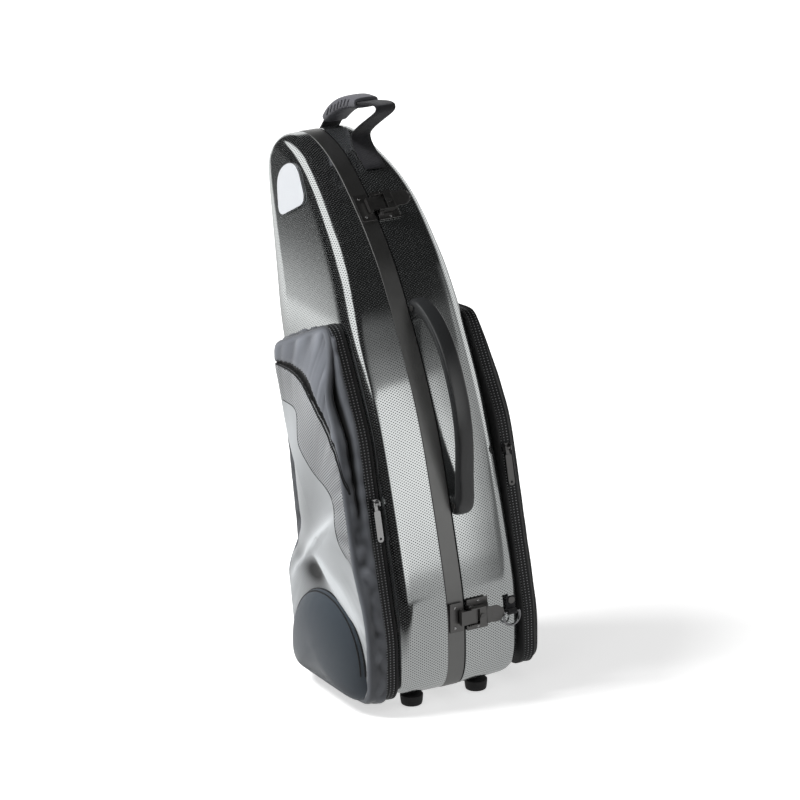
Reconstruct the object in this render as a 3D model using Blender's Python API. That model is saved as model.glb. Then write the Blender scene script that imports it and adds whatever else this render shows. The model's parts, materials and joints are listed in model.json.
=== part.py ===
"""Hard case for an alto saxophone, standing on its feet.

The lid faces -Y and the base +Y, the latches are on the +X side and the hinges on the -X side.
While it is modelled, x is 0 at the latch side, y is 0 at the lid edge of the valance, z is 0 on the floor.
At the end the whole case is moved, so that its origin is at the middle of its box, on the floor.
"""
import bmesh
import bpy
import math
from mathutils import Vector

# Clearances
GAP = 0.0003                      # between pieces that touch
SEAT_GAP = 0.0006                 # under pieces that sit on a shaped face
LINER_GAP = 0.0010                # between a shell and its liner
OVERRUN = 0.002                   # how far a cutter runs past what it cuts

# Case body
FOOT_HEIGHT = 0.013
BODY_HEIGHT = 0.626               # from the underside to the crest
CREST = FOOT_HEIGHT + BODY_HEIGHT
BODY_WIDTH = 0.382                # from the latch side to the far side of the crest
BODY_FOOT_WIDTH = 0.231           # across the underside
HINGE_LEAN = math.radians(14.3)   # lean of the straight hinge side
LATCH_CORNER_RADIUS = 0.032
HINGE_CORNER_RADIUS = 0.035
WALL = 0.0035
LID_DEPTH = 0.062
BASE_DEPTH = 0.088
LID_EDGE_RADIUS = 0.018
BASE_EDGE_RADIUS = 0.030
LID_HINGE_EDGE = 0.070            # width of the long rounding on the lid's hinge side
EDGE_DROP_SHARE = 0.9             # the most of a half's depth that its rounding takes

# Valance, seal and liners
BAND_WIDTH = 0.023
BAND_WALL = 0.003
BAND_PROUD = 0.0005
BAND_CHAMFER = 0.0006
SEAL_HEIGHT = 0.0012
SEAL_INSET = 0.0006
SEAL_WALL = 0.0022
FOAM = 0.012
LID_LINER_RIM = 0.006             # below the valance's edge
BASE_LINER_RIM = 0.004            # below the base's edge

# Foam cradles
CRADLE_THICKNESS = 0.045
CRADLE_MARGIN = 0.022             # from the liner's side walls
CRADLE_RIM = 0.020                # below the base's edge
BODY_CRADLE_HEIGHT = 0.125
BODY_CRADLE_NOTCH = 0.036
NECK_CRADLE_DROP = 0.259          # below the crest
NECK_CRADLE_NOTCH = 0.030

# Feet
FOOT_TOP_RADIUS = 0.0140
FOOT_BOTTOM_RADIUS = 0.0125
FOOT_ROUNDING = 0.002
FOOT_RECESS_RADIUS = 0.005
FOOT_RECESS_DEPTH = 0.005
FOOT_LATCH_INSET = 0.030          # foot centre from the latch side
FOOT_HINGE_EDGE = 0.028           # foot centre from the lower hinge corner
LID_FOOT_Y = -0.034
BASE_FOOT_Y = 0.056

# Hinges
HINGE_PIN_RADIUS = 0.0014
HINGE_BORE_RADIUS = 0.0017
HINGE_KNUCKLE_RADIUS = 0.0032
HINGE_LENGTH = 0.056
HINGE_KNUCKLE_LENGTH = 0.019      # of the lid's middle knuckle
HINGE_LEAF_WIDTH = 0.019
LOWER_HINGE_HEIGHT = 0.138
UPPER_HINGE_DROP = 0.141          # below the crest
HINGE_HEIGHTS = {"lower": LOWER_HINGE_HEIGHT, "upper": CREST - UPPER_HINGE_DROP}

# Draw latches
LOWER_LATCH_HEIGHT = 0.1115
UPPER_LATCH_DROP = 0.071
LATCH_HEIGHTS = {"lower": LOWER_LATCH_HEIGHT, "upper": CREST - UPPER_LATCH_DROP}
LATCH_SHEET = 0.0015
KEEPER_HEIGHT = 0.037
KEEPER_START = 0.002
KEEPER_WIDTH = 0.0185
KEEPER_LUG_START = 0.0166
KEEPER_LUG_THICKNESS = 0.0029
KEEPER_LUG_RISE = 0.0068
KEEPER_LUG_HEIGHT = 0.018
LATCH_PLATE_START = 0.0252
LATCH_PLATE_WIDTH = 0.029
LATCH_PLATE_HEIGHT = 0.039
LATCH_EAR_REACH = 0.0045
LATCH_EAR_RISE = 0.0080
LATCH_EAR_INNER = 0.0114
LATCH_EAR_THICKNESS = 0.0015
LATCH_PIN_RADIUS = 0.0012
LATCH_BORE_RADIUS = 0.0015
LATCH_PIVOT_OUT = 0.0055
LATCH_PIVOT_Y = 0.0277
CLAW_PIVOT_OUT = 0.0030           # from the lever's pivot
CLAW_PIVOT_BACK = 0.0060
CLAW_LENGTH = 0.0202
CLAW_THICKNESS = 0.0022
CLAW_TAIL = 0.0015
CLAW_HOOK_DROP = 0.0050
CLAW_HOOK_THICKNESS = 0.0025
CLAW_HALF_HEIGHT = 0.0088
LEVER_HALF_HEIGHT = 0.0111
LEVER_CHEEK = 0.0016
LEVER_TOP_OUT = 0.0067
LEVER_TOP_THICKNESS = 0.0017
LEVER_NOSE = 0.0022
LEVER_FOOT = 0.0025
LEVER_TOP_START = 0.0095
LEVER_LENGTH = 0.0215
LEVER_CHEEK_LENGTH = 0.0180
LEVER_TAB_LENGTH = 0.0185
LEVER_TAB_HALF_HEIGHT = 0.0060
LEVER_TAB_RISE = 0.0035
LEVER_TAB_STEP = 0.0002           # the tab is thinner than the lever's top where it leaves it
LOCK_RADIUS = 0.0034
LOCK_RISE = 0.0010
LOCK_BACK = 0.0133                # from the lever's pivot
LOCK_SLOT_WIDTH = 0.0010
LOCK_SLOT_LENGTH = 0.0036

# Side handle: heights are of its ends on the case, reach is from the case to the middle of the grip
HANDLE_LOW = 0.230
HANDLE_HIGH_DROP = 0.165          # below the crest
HANDLE_HIGH = CREST - HANDLE_HIGH_DROP
HANDLE_REACH = 0.0445
HANDLE_WIDTH = 0.023
HANDLE_START_Y = 0.0255
HANDLE_END_LENGTH = 0.026
HANDLE_SCREW_RADIUS = 0.0038
HANDLE_SCREW_HEAD = 0.0014
HANDLE_SCREW_SIDE = 0.0062        # screw centre above the case

# Top handle
STRAP_WIDTH = 0.027
STRAP_THICKNESS = 0.0025
STRAP_Y = 0.0500
STRAP_BEND_OVER = 0.0553          # from the stitched tail's end out to the bend over the latch side
STRAP_OVERHANG = 0.0072           # of its other end past the far tail
STRAP_SINK = 0.013                # of the free run's foot below the stitched tail's end
STRAP_RISE = 0.080                # from there to its top
GRIP_WIDTH = 0.034
GRIP_THICKNESS = 0.018
GRIP_BORE_CLEARANCE = 0.0012      # what the bore is wider and thicker than the strap

# D-rings
DRING_HEIGHT = 0.105
DRING_Y = 0.087
DRING_BAR_BORE = 0.0021
DRING_ROLL_RADIUS = 0.0036
DRING_TAB_WIDTH = 0.0120
DRING_TAB_LENGTH = 0.0190
DRING_WIRE_RADIUS = 0.0017
DRING_HALF_WIDTH = 0.0110
DRING_DROP = 0.0175
DRING_BAR_ROUNDING = 0.0035
DRING_RIVET_RADIUS = 0.0045
DRING_RIVET_HEAD = 0.0016

# Name plate
NAME_PLATE_WIDTH = 0.070
NAME_PLATE_HEIGHT = 0.057
NAME_PLATE_THICKNESS = 0.0018
NAME_PLATE_BEVEL = 0.0005
NAME_PLATE_EDGE = 0.099           # its middle from the far side of the crest
NAME_PLATE_DROP = 0.081
NAME_PLATE_Z = CREST - NAME_PLATE_DROP
NAME_PLATE_TURN = math.radians(28)
NAME_PLATE_LOW_ROUNDING = 0.010
NAME_PLATE_HIGH_ROUNDING = 0.024

# Pockets
PANEL_THICKNESS = 0.004
ZIP_WIDTH = 0.0070
ZIP_THICKNESS = 0.0050
COVER_WALL = 0.0025
COVER_EDGE = 0.006
COVER_LONGEST_SIDE = 0.060
FRONT_GUSSET = 0.022
FRONT_CROWN = 0.024
BACK_GUSSET = 0.014
BACK_CROWN = 0.007
POCKET_TOP_ROUNDING = 0.018
POCKET_SIDE_ROUNDING = 0.120
POCKET_LOW_ROUNDING = 0.026
POCKET_WIDTH = 0.250
FRONT_POCKET_LOW = 0.010          # height of its lower edge
FRONT_POCKET_DROP = 0.189         # its upper edge below the crest
BACK_POCKET_LOW = 0.018
BACK_POCKET_DROP = 0.195
POCKET_LATCH_INSET = 0.010
DOME_WIDTH = 0.172
DOME_HEIGHT = 0.118
DOME_DEPTH = 0.034
DOME_X = -0.104
DOME_LOW = 0.015
DOME_ROUNDING = 0.0225

# Zip sliders and their pulls
SLIDER_SHARES = {"front": 0.695, "back": 0.845}   # of the way up the straight side
SLIDER_LENGTH = 0.0110
SLIDER_WIDTH = 0.0090
SLIDER_BASE = 0.0035
SLIDER_RISE = 0.0088
SLIDER_SLOT = 0.0054
SLIDER_BAR_OUT = 0.0063
SLIDER_BAR_RADIUS = 0.0010
PULL_BORE = 0.0013
PULL_CURL_RADIUS = 0.0023
PULL_NECK_WIDTH = 0.0044
PULL_NECK_LENGTH = 0.0100
PULL_TAB_LENGTH = 0.0480
PULL_TAB_WIDTH = 0.0085
PULL_TAB_THICKNESS = 0.0018
PULL_HOLE_RADIUS = 0.0016

# Shoulder straps stowed in the back pocket
SHOULDER_STRAP_WIDTH = 0.055
SHOULDER_STRAP_THICKNESS = 0.011
SHOULDER_STRAP_LOW = 0.065
SHOULDER_STRAP_MARGIN = 0.129     # its upper end below the back pocket's upper edge
SHOULDER_STRAP_BEVEL = 0.004
SHOULDER_STRAP_SPACING = 0.066
SHOULDER_STRAP_X = -0.106

# The latch side and the crest: shares of the width inward and of the height up
LATCH_SIDE_SHARES = (
    (0.000, 0.161), (0.029, 0.250), (0.110, 0.424), (0.173, 0.535), (0.262, 0.646), (0.408, 0.796),
    (0.573, 0.903), (0.720, 0.972), (0.869, 1.000), (0.942, 0.984), (0.987, 0.946),
)
# Heights of the points down the straight hinge side, as shares of the height
HINGE_SIDE_SHARES = (0.897, 0.813, 0.728, 0.668, 0.500, 0.330, 0.180)

# Upper end of the line that each half's face gathers on: shares of the width inward and of the height up
SPINE_TOP_SHARES = (0.80, 0.87)

# Depth of each half and of the lid's long rounding: height shares with depth shares
LID_DEPTH_SHARES = ((0.0, 1.0), (0.668, 1.0), (0.990, 0.54), (1.0, 0.53))
BASE_DEPTH_SHARES = ((0.0, 1.0), (0.728, 0.92), (0.910, 0.81), (0.990, 0.55), (1.0, 0.54))
BASE_EDGE_SHARES = ((0.0, 1.0), (0.72, 0.92), (0.91, 0.66), (1.0, 0.60))
HINGE_EDGE_SHARES = (
    (0.0, 0.46), (0.12, 0.50), (0.33, 1.0), (0.68, 0.93), (0.80, 0.64), (0.91, 0.40), (1.0, 0.27),
)
CROWN_SHARES = ((0.0, 0.0), (0.34, 0.0), (0.48, 1.0), (0.72, 0.95), (1.0, 0.40))

# The side handle's stations: share of the way up, share of the reach, turn of the section in degrees,
# share of the end's length
HANDLE_SHARES = (
    (0.045, 0.000, 0, 1.00), (0.045, 0.180, 5, 0.92), (0.062, 0.290, 35, 0.76), (0.110, 0.370, 55, 0.62),
    (0.180, 0.480, 62, 0.52), (0.290, 0.720, 66, 0.49), (0.400, 0.900, 74, 0.48), (0.520, 0.990, 86, 0.48),
    (0.650, 1.000, 92, 0.48), (0.760, 0.945, 103, 0.49), (0.860, 0.720, 125, 0.52), (0.925, 0.430, 145, 0.66),
    (0.950, 0.190, 174, 0.88), (0.950, 0.000, 180, 0.96),
)

# The top strap's free run between its two tails: shares of its reach back from the bend and of its rise
STRAP_SHARES = (
    (0.400, 0.320), (0.355, 0.450), (0.205, 0.650), (0.062, 0.825), (0.000, 0.930), (0.050, 1.000),
    (0.300, 0.905), (0.440, 0.868), (0.585, 0.765), (0.705, 0.625), (0.800, 0.460), (0.870, 0.300),
)
NEAR_TAIL = (15, 16)              # points of the case's outline that the stitched tail lies on
FAR_TAIL = (21, 24)
GRIP_FIRST = 6                    # the grip covers the free run from this point of it
GRIP_LAST = 10                    # to this one

# Corners of a pocket: shares of its width inward and of its height up
POCKET_SHARES = ((0.0, 0.0), (0.0, 0.193), (0.230, 0.720), (0.500, 1.0), (1.0, 0.873), (0.745, 0.0))
BACK_POCKET_SHARES = ((0.0, 0.0), (0.0, 0.181), (0.215, 0.725), (0.490, 1.0), (1.0, 0.975), (0.770, 0.0))

# The top grip's thickness along it, and the corners of its bore
GRIP_SHARES = ((0.0, 0.72), (0.18, 0.94), (0.5, 1.0), (0.82, 0.94), (1.0, 0.72))
SQUARE = ((1, 1), (-1, 1), (-1, -1), (1, -1))

# Cover of a pocket: shares that its rings shrink by
COVER_SHARES = (0.86, 0.66, 0.42, 0.16)

# Dome pocket: shares that its rings shrink by, with shares of its depth
DOME_SHARES = ((1.0, 0.18), (0.93, 0.45), (0.78, 0.75), (0.52, 0.94), (0.20, 1.0))
DOME_ROUNDING_SHARE = 0.7         # upper rounding to the dome's height
PLATE_TOP_SHARE = 0.72            # width at the name plate's upper corners to its width
PULL_ROUNDING_SHARE = 0.9
DRING_ROUNDING_SHARE = 0.95       # the ring's lower rounding to its half width

# Counts
SPLINE_STEPS = 2
STRAP_STEPS = 2
SETTLE_STEPS = 4
STRAP_COLUMNS = (-1.0, -0.5, 0.0, 0.5, 1.0)
CORNER_STEPS = 4
EDGE_STEPS = 3
COVER_EDGE_STEPS = 2
TURN_STEPS = 16
PIN_STEPS = 12
WIRE_SIDES = 8
HANDLE_SIDES = 12
GRIP_QUARTER = 3                  # sides in a quarter of the top grip's section
DOME_CORNER_STEPS = 6
FACE_SHARES = (0.68, 0.30)
SMOOTH_ANGLE = math.radians(35)
HALF_SHARE = 0.5
FLAT_ANGLE = math.pi / 2
CURL_ANGLE = math.radians(280)    # how far a rolled leaf goes round its pin


for old in list(bpy.data.objects):
    bpy.data.objects.remove(old, do_unlink=True)

case_origin = bpy.data.objects.new("case_origin", None)
bpy.context.scene.collection.objects.link(case_origin)


# Object and placing

def add_empty(name, location, parent=None, turn_y=0.0):
    """A guide that carries pieces: an empty at a place, turned about y."""
    empty = bpy.data.objects.new(name, None)
    bpy.context.scene.collection.objects.link(empty)
    empty.parent = parent or case_origin
    empty.location = location
    empty.rotation_euler = (0, turn_y, 0)
    return empty


def add_piece(name, bm, look, parent=None, location=(0, 0, 0)):
    """Turn a bmesh into a named object with its own material: look is colour, roughness, metallic."""
    bmesh.ops.recalc_face_normals(bm, faces=bm.faces)
    mesh = bpy.data.meshes.new(name)
    bm.to_mesh(mesh)
    bm.free()
    return add_object(name, mesh, look, parent, location)


def add_object(name, mesh, look, parent=None, location=(0, 0, 0)):
    colour, roughness, metallic = look
    mesh.shade_smooth()
    mesh.set_sharp_from_angle(angle=SMOOTH_ANGLE)
    piece = bpy.data.objects.new(name, mesh)
    bpy.context.scene.collection.objects.link(piece)
    piece.parent = parent or case_origin
    piece.location = location
    material = bpy.data.materials.new(name + "_finish")
    material.use_nodes = True
    shader = material.node_tree.nodes["Principled BSDF"]
    shader.inputs["Base Color"].default_value = (*colour, 1)
    shader.inputs["Roughness"].default_value = roughness
    shader.inputs["Metallic"].default_value = metallic
    mesh.materials.clear()
    mesh.materials.append(material)
    return piece


LAMINATE = ((0.05, 0.05, 0.055), 0.18, 0.0)
BAND = ((0.045, 0.04, 0.038), 0.38, 0.2)
RUBBER = ((0.012, 0.012, 0.012), 0.6, 0.0)
FOAM_CLOTH = ((0.03, 0.03, 0.035), 0.95, 0.0)
LATCH_METAL = ((0.09, 0.09, 0.09), 0.32, 0.9)
STEEL = ((0.45, 0.45, 0.46), 0.3, 1.0)
MOULDED = ((0.02, 0.02, 0.02), 0.35, 0.0)
WEBBING = ((0.012, 0.012, 0.014), 0.85, 0.0)
GRIP_RUBBER = ((0.055, 0.055, 0.06), 0.55, 0.0)
PLATE_SILVER = ((0.8, 0.8, 0.82), 0.25, 0.6)
NYLON = ((0.06, 0.06, 0.075), 0.5, 0.0)
DOME_CLOTH = ((0.045, 0.055, 0.065), 0.8, 0.0)
ZIP_NYLON = ((0.01, 0.01, 0.011), 0.55, 0.0)


# Curves and outlines

def spline(points, steps):
    """Points along a smooth curve through the given ones, which stay on it."""
    points = [Vector(point) for point in points]
    ends = [points[0] * 2 - points[1]] + points + [points[-1] * 2 - points[-2]]
    curve = []
    for before, start, end, after in zip(ends, ends[1:], ends[2:], ends[3:]):
        for step in range(steps):
            t = step / steps
            curve.append(HALF_SHARE * (start * 2 + (end - before) * t
                                 + (before * 2 - start * 5 + end * 4 - after) * t ** 2
                                 + (start * 3 - before - end * 3 + after) * t ** 3))
    return curve + [points[-1]]


def rounded(corners, radii, steps=CORNER_STEPS):
    """A closed outline through the corners in turn, each rounded to its radius."""
    outline = []
    for index, corner in enumerate(corners):
        corner = Vector(corner)
        back = (Vector(corners[index - 1]) - corner).normalized()
        ahead = (Vector(corners[(index + 1) % len(corners)]) - corner).normalized()
        half_angle = back.angle(ahead) * HALF_SHARE
        tangent = radii[index] / math.tan(half_angle)
        centre = corner + (back + ahead).normalized() * (radii[index] / math.sin(half_angle))
        start = corner + back * tangent - centre
        end = corner + ahead * tangent - centre
        sweep = math.atan2(start.x * end.y - start.y * end.x, start.dot(end))
        for step in range(steps + 1):
            angle = sweep * step / steps
            outline.append(centre + Vector((start.x * math.cos(angle) - start.y * math.sin(angle),
                                            start.x * math.sin(angle) + start.y * math.cos(angle))))
    return outline


def subdivided(outline, longest):
    """The same closed outline with points added, so that no side is longer than the longest."""
    points = []
    for index, point in enumerate(outline):
        ahead = outline[(index + 1) % len(outline)]
        parts = math.ceil((ahead - point).length / longest)
        points += [point.lerp(ahead, part / parts) for part in range(parts)]
    return points


def facings(outline):
    """Outward direction at each point of a closed anticlockwise outline, lengthened where it turns."""
    outward = []
    for index, point in enumerate(outline):
        ahead = (outline[(index + 1) % len(outline)] - point).normalized()
        along = ((point - outline[index - 1]).normalized() + ahead).normalized()
        outward.append(Vector((along.y, -along.x)) / along.dot(ahead))
    return outward


def inset(outline, distance):
    """The same closed outline, moved inward."""
    return [point - out * distance for point, out in zip(outline, facings(outline))]


def read_table(table, share):
    """Straight-line reading of a table of pairs."""
    if share <= table[0][0]:
        return table[0][1]
    for (low, low_value), (high, high_value) in zip(table, table[1:]):
        if share <= high:
            return low_value + (high_value - low_value) * (share - low) / (high - low)
    return table[-1][1]


def hinge_side_x(height):
    """x of the straight hinge side at a height above the floor."""
    return -BODY_FOOT_WIDTH - (height - FOOT_HEIGHT) * math.tan(HINGE_LEAN)


def case_outline():
    """The split line: up the latch side, over the crest, down the hinge side, along the underside."""
    side = [(0, FOOT_HEIGHT + LATCH_CORNER_RADIUS)]
    side += [(-inward * BODY_WIDTH, FOOT_HEIGHT + up * BODY_HEIGHT) for inward, up in LATCH_SIDE_SHARES]
    hinge_side = []
    for share in HINGE_SIDE_SHARES:
        height = FOOT_HEIGHT + share * BODY_HEIGHT
        hinge_side.append(Vector((hinge_side_x(height), height)))
    top = hinge_side[0].y
    points = spline(side + hinge_side[:1], SPLINE_STEPS) + hinge_side[1:]
    corners = [(hinge_side_x(top), top), (-BODY_FOOT_WIDTH, FOOT_HEIGHT), (0, FOOT_HEIGHT), (0, top)]
    arcs = rounded(corners, [GAP, HINGE_CORNER_RADIUS, LATCH_CORNER_RADIUS, GAP])
    hinge_corner = arcs[CORNER_STEPS + 1:2 * CORNER_STEPS + 2]
    latch_corner = arcs[2 * CORNER_STEPS + 2:3 * CORNER_STEPS + 2]
    points += hinge_corner
    points.append(hinge_corner[-1].lerp(latch_corner[0], HALF_SHARE))
    return points + latch_corner[:-1]


CASE = case_outline()
SPINE = (Vector((-BODY_FOOT_WIDTH * HALF_SHARE, FOOT_HEIGHT + BODY_FOOT_WIDTH * HALF_SHARE)),
         Vector((-BODY_WIDTH * SPINE_TOP_SHARES[0], FOOT_HEIGHT + BODY_HEIGHT * SPINE_TOP_SHARES[1])))


def height_share(height):
    return (height - FOOT_HEIGHT) / BODY_HEIGHT


def lid_depth(height):
    return LID_DEPTH * read_table(LID_DEPTH_SHARES, height_share(height))


def base_depth(height):
    return BASE_DEPTH * read_table(BASE_DEPTH_SHARES, height_share(height))


def lid_edge(height):
    return LID_EDGE_RADIUS


def base_edge(height):
    return BASE_EDGE_RADIUS * read_table(BASE_EDGE_SHARES, height_share(height))


def on_latch_side(height):
    """Place, outward direction and upward direction of the latch side at a height."""
    for low, high in zip(CASE, CASE[1:]):
        if low.y <= height <= high.y:
            along = (high - low).normalized()
            place = low.lerp(high, (height - low.y) / (high.y - low.y))
            return place, Vector((along.y, -along.x)), along
    raise ValueError("no latch side at this height")


# Solids

def loft(rings, closed=False, laddered=False):
    """Join rings of equally many points: with a face over each end, or last to first when closed.

    Each four-sided patch is split along its shorter diagonal, so that nested shells bend alike.
    """
    bm = bmesh.new()
    layers = [[bm.verts.new(point) for point in ring] for ring in rings]
    pairs = list(zip(layers, layers[1:]))
    if closed:
        pairs.append((layers[-1], layers[0]))
    for low, high in pairs:
        for index in range(len(low)):
            after = (index + 1) % len(low)
            rising = (low[index].co - high[after].co).length
            falling = (low[after].co - high[index].co).length
            if rising < falling:
                bm.faces.new((low[index], low[after], high[after]))
                bm.faces.new((low[index], high[after], high[index]))
            else:
                bm.faces.new((low[index], low[after], high[index]))
                bm.faces.new((low[after], high[after], high[index]))
    if closed:
        return bm
    for ring in (layers[0], list(reversed(layers[-1]))):
        if laddered:
            add_ladder(bm, ring)
        else:
            bm.faces.new(ring)
    return bm


def add_ladder(bm, ring):
    """Close an upright ring with rungs from side to side, which follow a face that bends with height."""
    heights = [vert.co.z for vert in ring]
    low = heights.index(min(heights))
    top = (heights.index(max(heights)) - low) % len(ring)
    turned_ring = ring[low:] + ring[:low]
    up = turned_ring[:top + 1]
    down = [turned_ring[0]] + turned_ring[top:][::-1]
    first, second = 0, 0
    while first < len(up) - 1 or second < len(down) - 1:
        can_rise = first < len(up) - 1
        if can_rise and (second == len(down) - 1 or up[first + 1].co.z <= down[second + 1].co.z):
            rung = (up[first], up[first + 1], down[second])
            first += 1
        else:
            rung = (up[first], down[second + 1], down[second])
            second += 1
        if len(set(rung)) == 3:
            bm.faces.new(rung)


def prism(outline, low, high, plane="XZ", bevel=0.0):
    """An outline drawn out from low to high along the axis that its plane leaves."""
    def place(point, depth):
        if plane == "XZ":
            return Vector((point[0], depth, point[1]))
        if plane == "XY":
            return Vector((point[0], point[1], depth))
        return Vector((depth, point[0], point[1]))
    bm = loft([[place(point, low) for point in outline], [place(point, high) for point in outline]])
    if bevel:
        caps = [face for face in bm.faces if len(face.verts) == len(outline)]
        rims = {edge for face in caps for edge in face.edges}
        bmesh.ops.bevel(bm, geom=list(rims), offset=bevel, segments=1, affect="EDGES")
    return bm


def box(low, high):
    """A box between two corners."""
    outline = [(low[0], low[1]), (high[0], low[1]), (high[0], high[1]), (low[0], high[1])]
    return prism(outline, low[2], high[2], "XY")


def cylinder(radius, low, high, centre=(0, 0), plane="XY", steps=PIN_STEPS):
    circle = [(centre[0] + radius * math.cos(math.tau * step / steps),
               centre[1] + radius * math.sin(math.tau * step / steps)) for step in range(steps)]
    return prism(circle, low, high, plane)


def turned(profile, steps=TURN_STEPS):
    """A solid turned about z from radius and height pairs, closed by a face at each end."""
    turns = [math.tau * step / steps for step in range(steps)]
    return loft([[Vector((radius * math.cos(turn), radius * math.sin(turn), height)) for turn in turns]
                 for radius, height in profile])


def sweep(route, section_at):
    """A solid whose sections, one at each point of a route in x and z, section_at gives in y and outward."""
    rings = []
    for index, point in enumerate(route):
        along = (route[min(index + 1, len(route) - 1)] - route[max(index - 1, 0)]).normalized()
        out = Vector((along.y, -along.x))
        rings.append([Vector((point.x + out.x * rise, side, point.y + out.y * rise))
                      for side, rise in section_at(index)])
    return rings


def wire_loop(outline, radius):
    """Round wire along a closed outline in y and z."""
    rings = []
    for index, point in enumerate(outline):
        along = (outline[(index + 1) % len(outline)] - outline[index - 1]).normalized()
        out = Vector((along.y, -along.x))
        ring = []
        for side in range(WIRE_SIDES):
            angle = math.tau * side / WIRE_SIDES
            reach = radius * math.cos(angle)
            ring.append(Vector((radius * math.sin(angle), point.x + out.x * reach, point.y + out.y * reach)))
        rings.append(ring)
    return loft(rings, closed=True)


def curl(bore, radius, length):
    """Rolled sheet: a flat leaf out to a length, then the roll from bore to radius round its axis."""
    steps = 2 * WIRE_SIDES
    outer = [(radius * math.cos(-CURL_ANGLE * step / steps), radius * math.sin(-CURL_ANGLE * step / steps))
             for step in range(steps + 1)]
    inner = [(bore * math.cos(-CURL_ANGLE * step / steps), bore * math.sin(-CURL_ANGLE * step / steps))
             for step in range(steps + 1)]
    return [(radius, length)] + outer + inner[::-1] + [(bore, length)]


def combined(name, base, tools, operation):
    """The mesh of one solid after others are joined to it or cut from it."""
    def temporary(label, bm):
        bmesh.ops.recalc_face_normals(bm, faces=bm.faces)
        mesh = bpy.data.meshes.new(label)
        bm.to_mesh(mesh)
        bm.free()
        solid = bpy.data.objects.new(label, mesh)
        bpy.context.scene.collection.objects.link(solid)
        return solid
    body = temporary(name, base)
    helpers = [temporary(name + "_tool", tool) for tool in tools]
    for helper in helpers:
        modifier = body.modifiers.new(helper.name, "BOOLEAN")
        modifier.operation = operation
        modifier.solver = "EXACT"
        modifier.object = helper
    bpy.context.view_layer.update()
    mesh = bpy.data.meshes.new_from_object(body.evaluated_get(bpy.context.evaluated_depsgraph_get()))
    for solid in helpers + [body]:
        bpy.data.objects.remove(solid, do_unlink=True)
    result = bmesh.new()
    result.from_mesh(mesh)
    return result


# Case halves and liners

def case_rings(side, rim, depth_at, edge_at, skin):
    """Rings of one half from its rim to the middle of its face, skin inside the outer surface."""
    split = BAND_WIDTH if side > 0 else 0.0
    outline = inset(CASE, skin)
    rings = [[Vector((point.x, rim, point.y)) for point in outline]]
    for step in range(EDGE_STEPS + 1):
        angle = FLAT_ANGLE * step / EDGE_STEPS
        ring = []
        for point, out in zip(CASE, facings(CASE)):
            facing_hinge = min(1.0, max(0.0, -out.x) ** 2) if side < 0 else 0.0
            wide = LID_HINGE_EDGE * read_table(HINGE_EDGE_SHARES, height_share(point.y))
            edge_radius = edge_at(point.y)
            width = edge_radius + (wide - edge_radius) * facing_hinge - skin
            moved = point - out * (skin + width * (1 - math.cos(angle)))
            depth = depth_at(moved.y) - skin
            drop = min(edge_radius - skin, depth * EDGE_DROP_SHARE)
            drop += (depth * EDGE_DROP_SHARE - drop) * facing_hinge
            ring.append(Vector((moved.x, split + side * (depth - drop * (1 - math.sin(angle))), moved.y)))
        rings.append(ring)
    edge = rings[-1]
    spine = SPINE[1] - SPINE[0]
    for share in FACE_SHARES:
        ring = []
        for corner in edge:
            point = Vector((corner.x, corner.z))
            part = max(0.0, min(1.0, (point - SPINE[0]).dot(spine) / spine.length_squared))
            middle = SPINE[0] + spine * part
            moved = middle + (point - middle) * share
            ring.append(Vector((moved.x, split + side * (depth_at(moved.y) - skin), moved.y)))
        rings.append(ring)
    return rings


def case_tray(side, rim, depth_at, edge_at, skin, wall):
    """An open tray that follows the case: its outside is skin below the case's surface."""
    outer = case_rings(side, rim, depth_at, edge_at, skin)
    inner = case_rings(side, rim, depth_at, edge_at, skin + wall)
    return loft(inner[::-1] + outer, laddered=True)


def band(outline_sections):
    """A closed band round the case from inset and y pairs."""
    return loft([[Vector((point.x, y, point.y)) for point in inset(CASE, distance)]
                 for distance, y in outline_sections], closed=True)


add_piece("lid_shell", case_tray(-1, 0.0, lid_depth, lid_edge, 0.0, WALL), LAMINATE)
base_rim = BAND_WIDTH + GAP + SEAL_HEIGHT + GAP
add_piece("base_shell", case_tray(1, base_rim, base_depth, base_edge, 0.0, WALL), LAMINATE)

add_piece("lid_valance", band([
    (BAND_CHAMFER - BAND_PROUD, GAP), (-BAND_PROUD, GAP + BAND_CHAMFER),
    (-BAND_PROUD, BAND_WIDTH - BAND_CHAMFER), (BAND_CHAMFER - BAND_PROUD, BAND_WIDTH),
    (BAND_WALL, BAND_WIDTH), (BAND_WALL, GAP)]), BAND)
seal_low = BAND_WIDTH + GAP
add_piece("rim_seal", band([
    (SEAL_INSET, seal_low), (SEAL_INSET, seal_low + SEAL_HEIGHT),
    (SEAL_INSET + SEAL_WALL, seal_low + SEAL_HEIGHT), (SEAL_INSET + SEAL_WALL, seal_low)]), RUBBER)

liner_skin = WALL + LINER_GAP
add_piece("lid_liner", case_tray(-1, BAND_WIDTH - LID_LINER_RIM, lid_depth, lid_edge, liner_skin, FOAM),
          FOAM_CLOTH)
add_piece("base_liner", case_tray(1, base_rim + BASE_LINER_RIM, base_depth, base_edge, liner_skin, FOAM),
          FOAM_CLOTH)


# Foam cradles in the base: blocks with a round notch for the instrument

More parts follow.
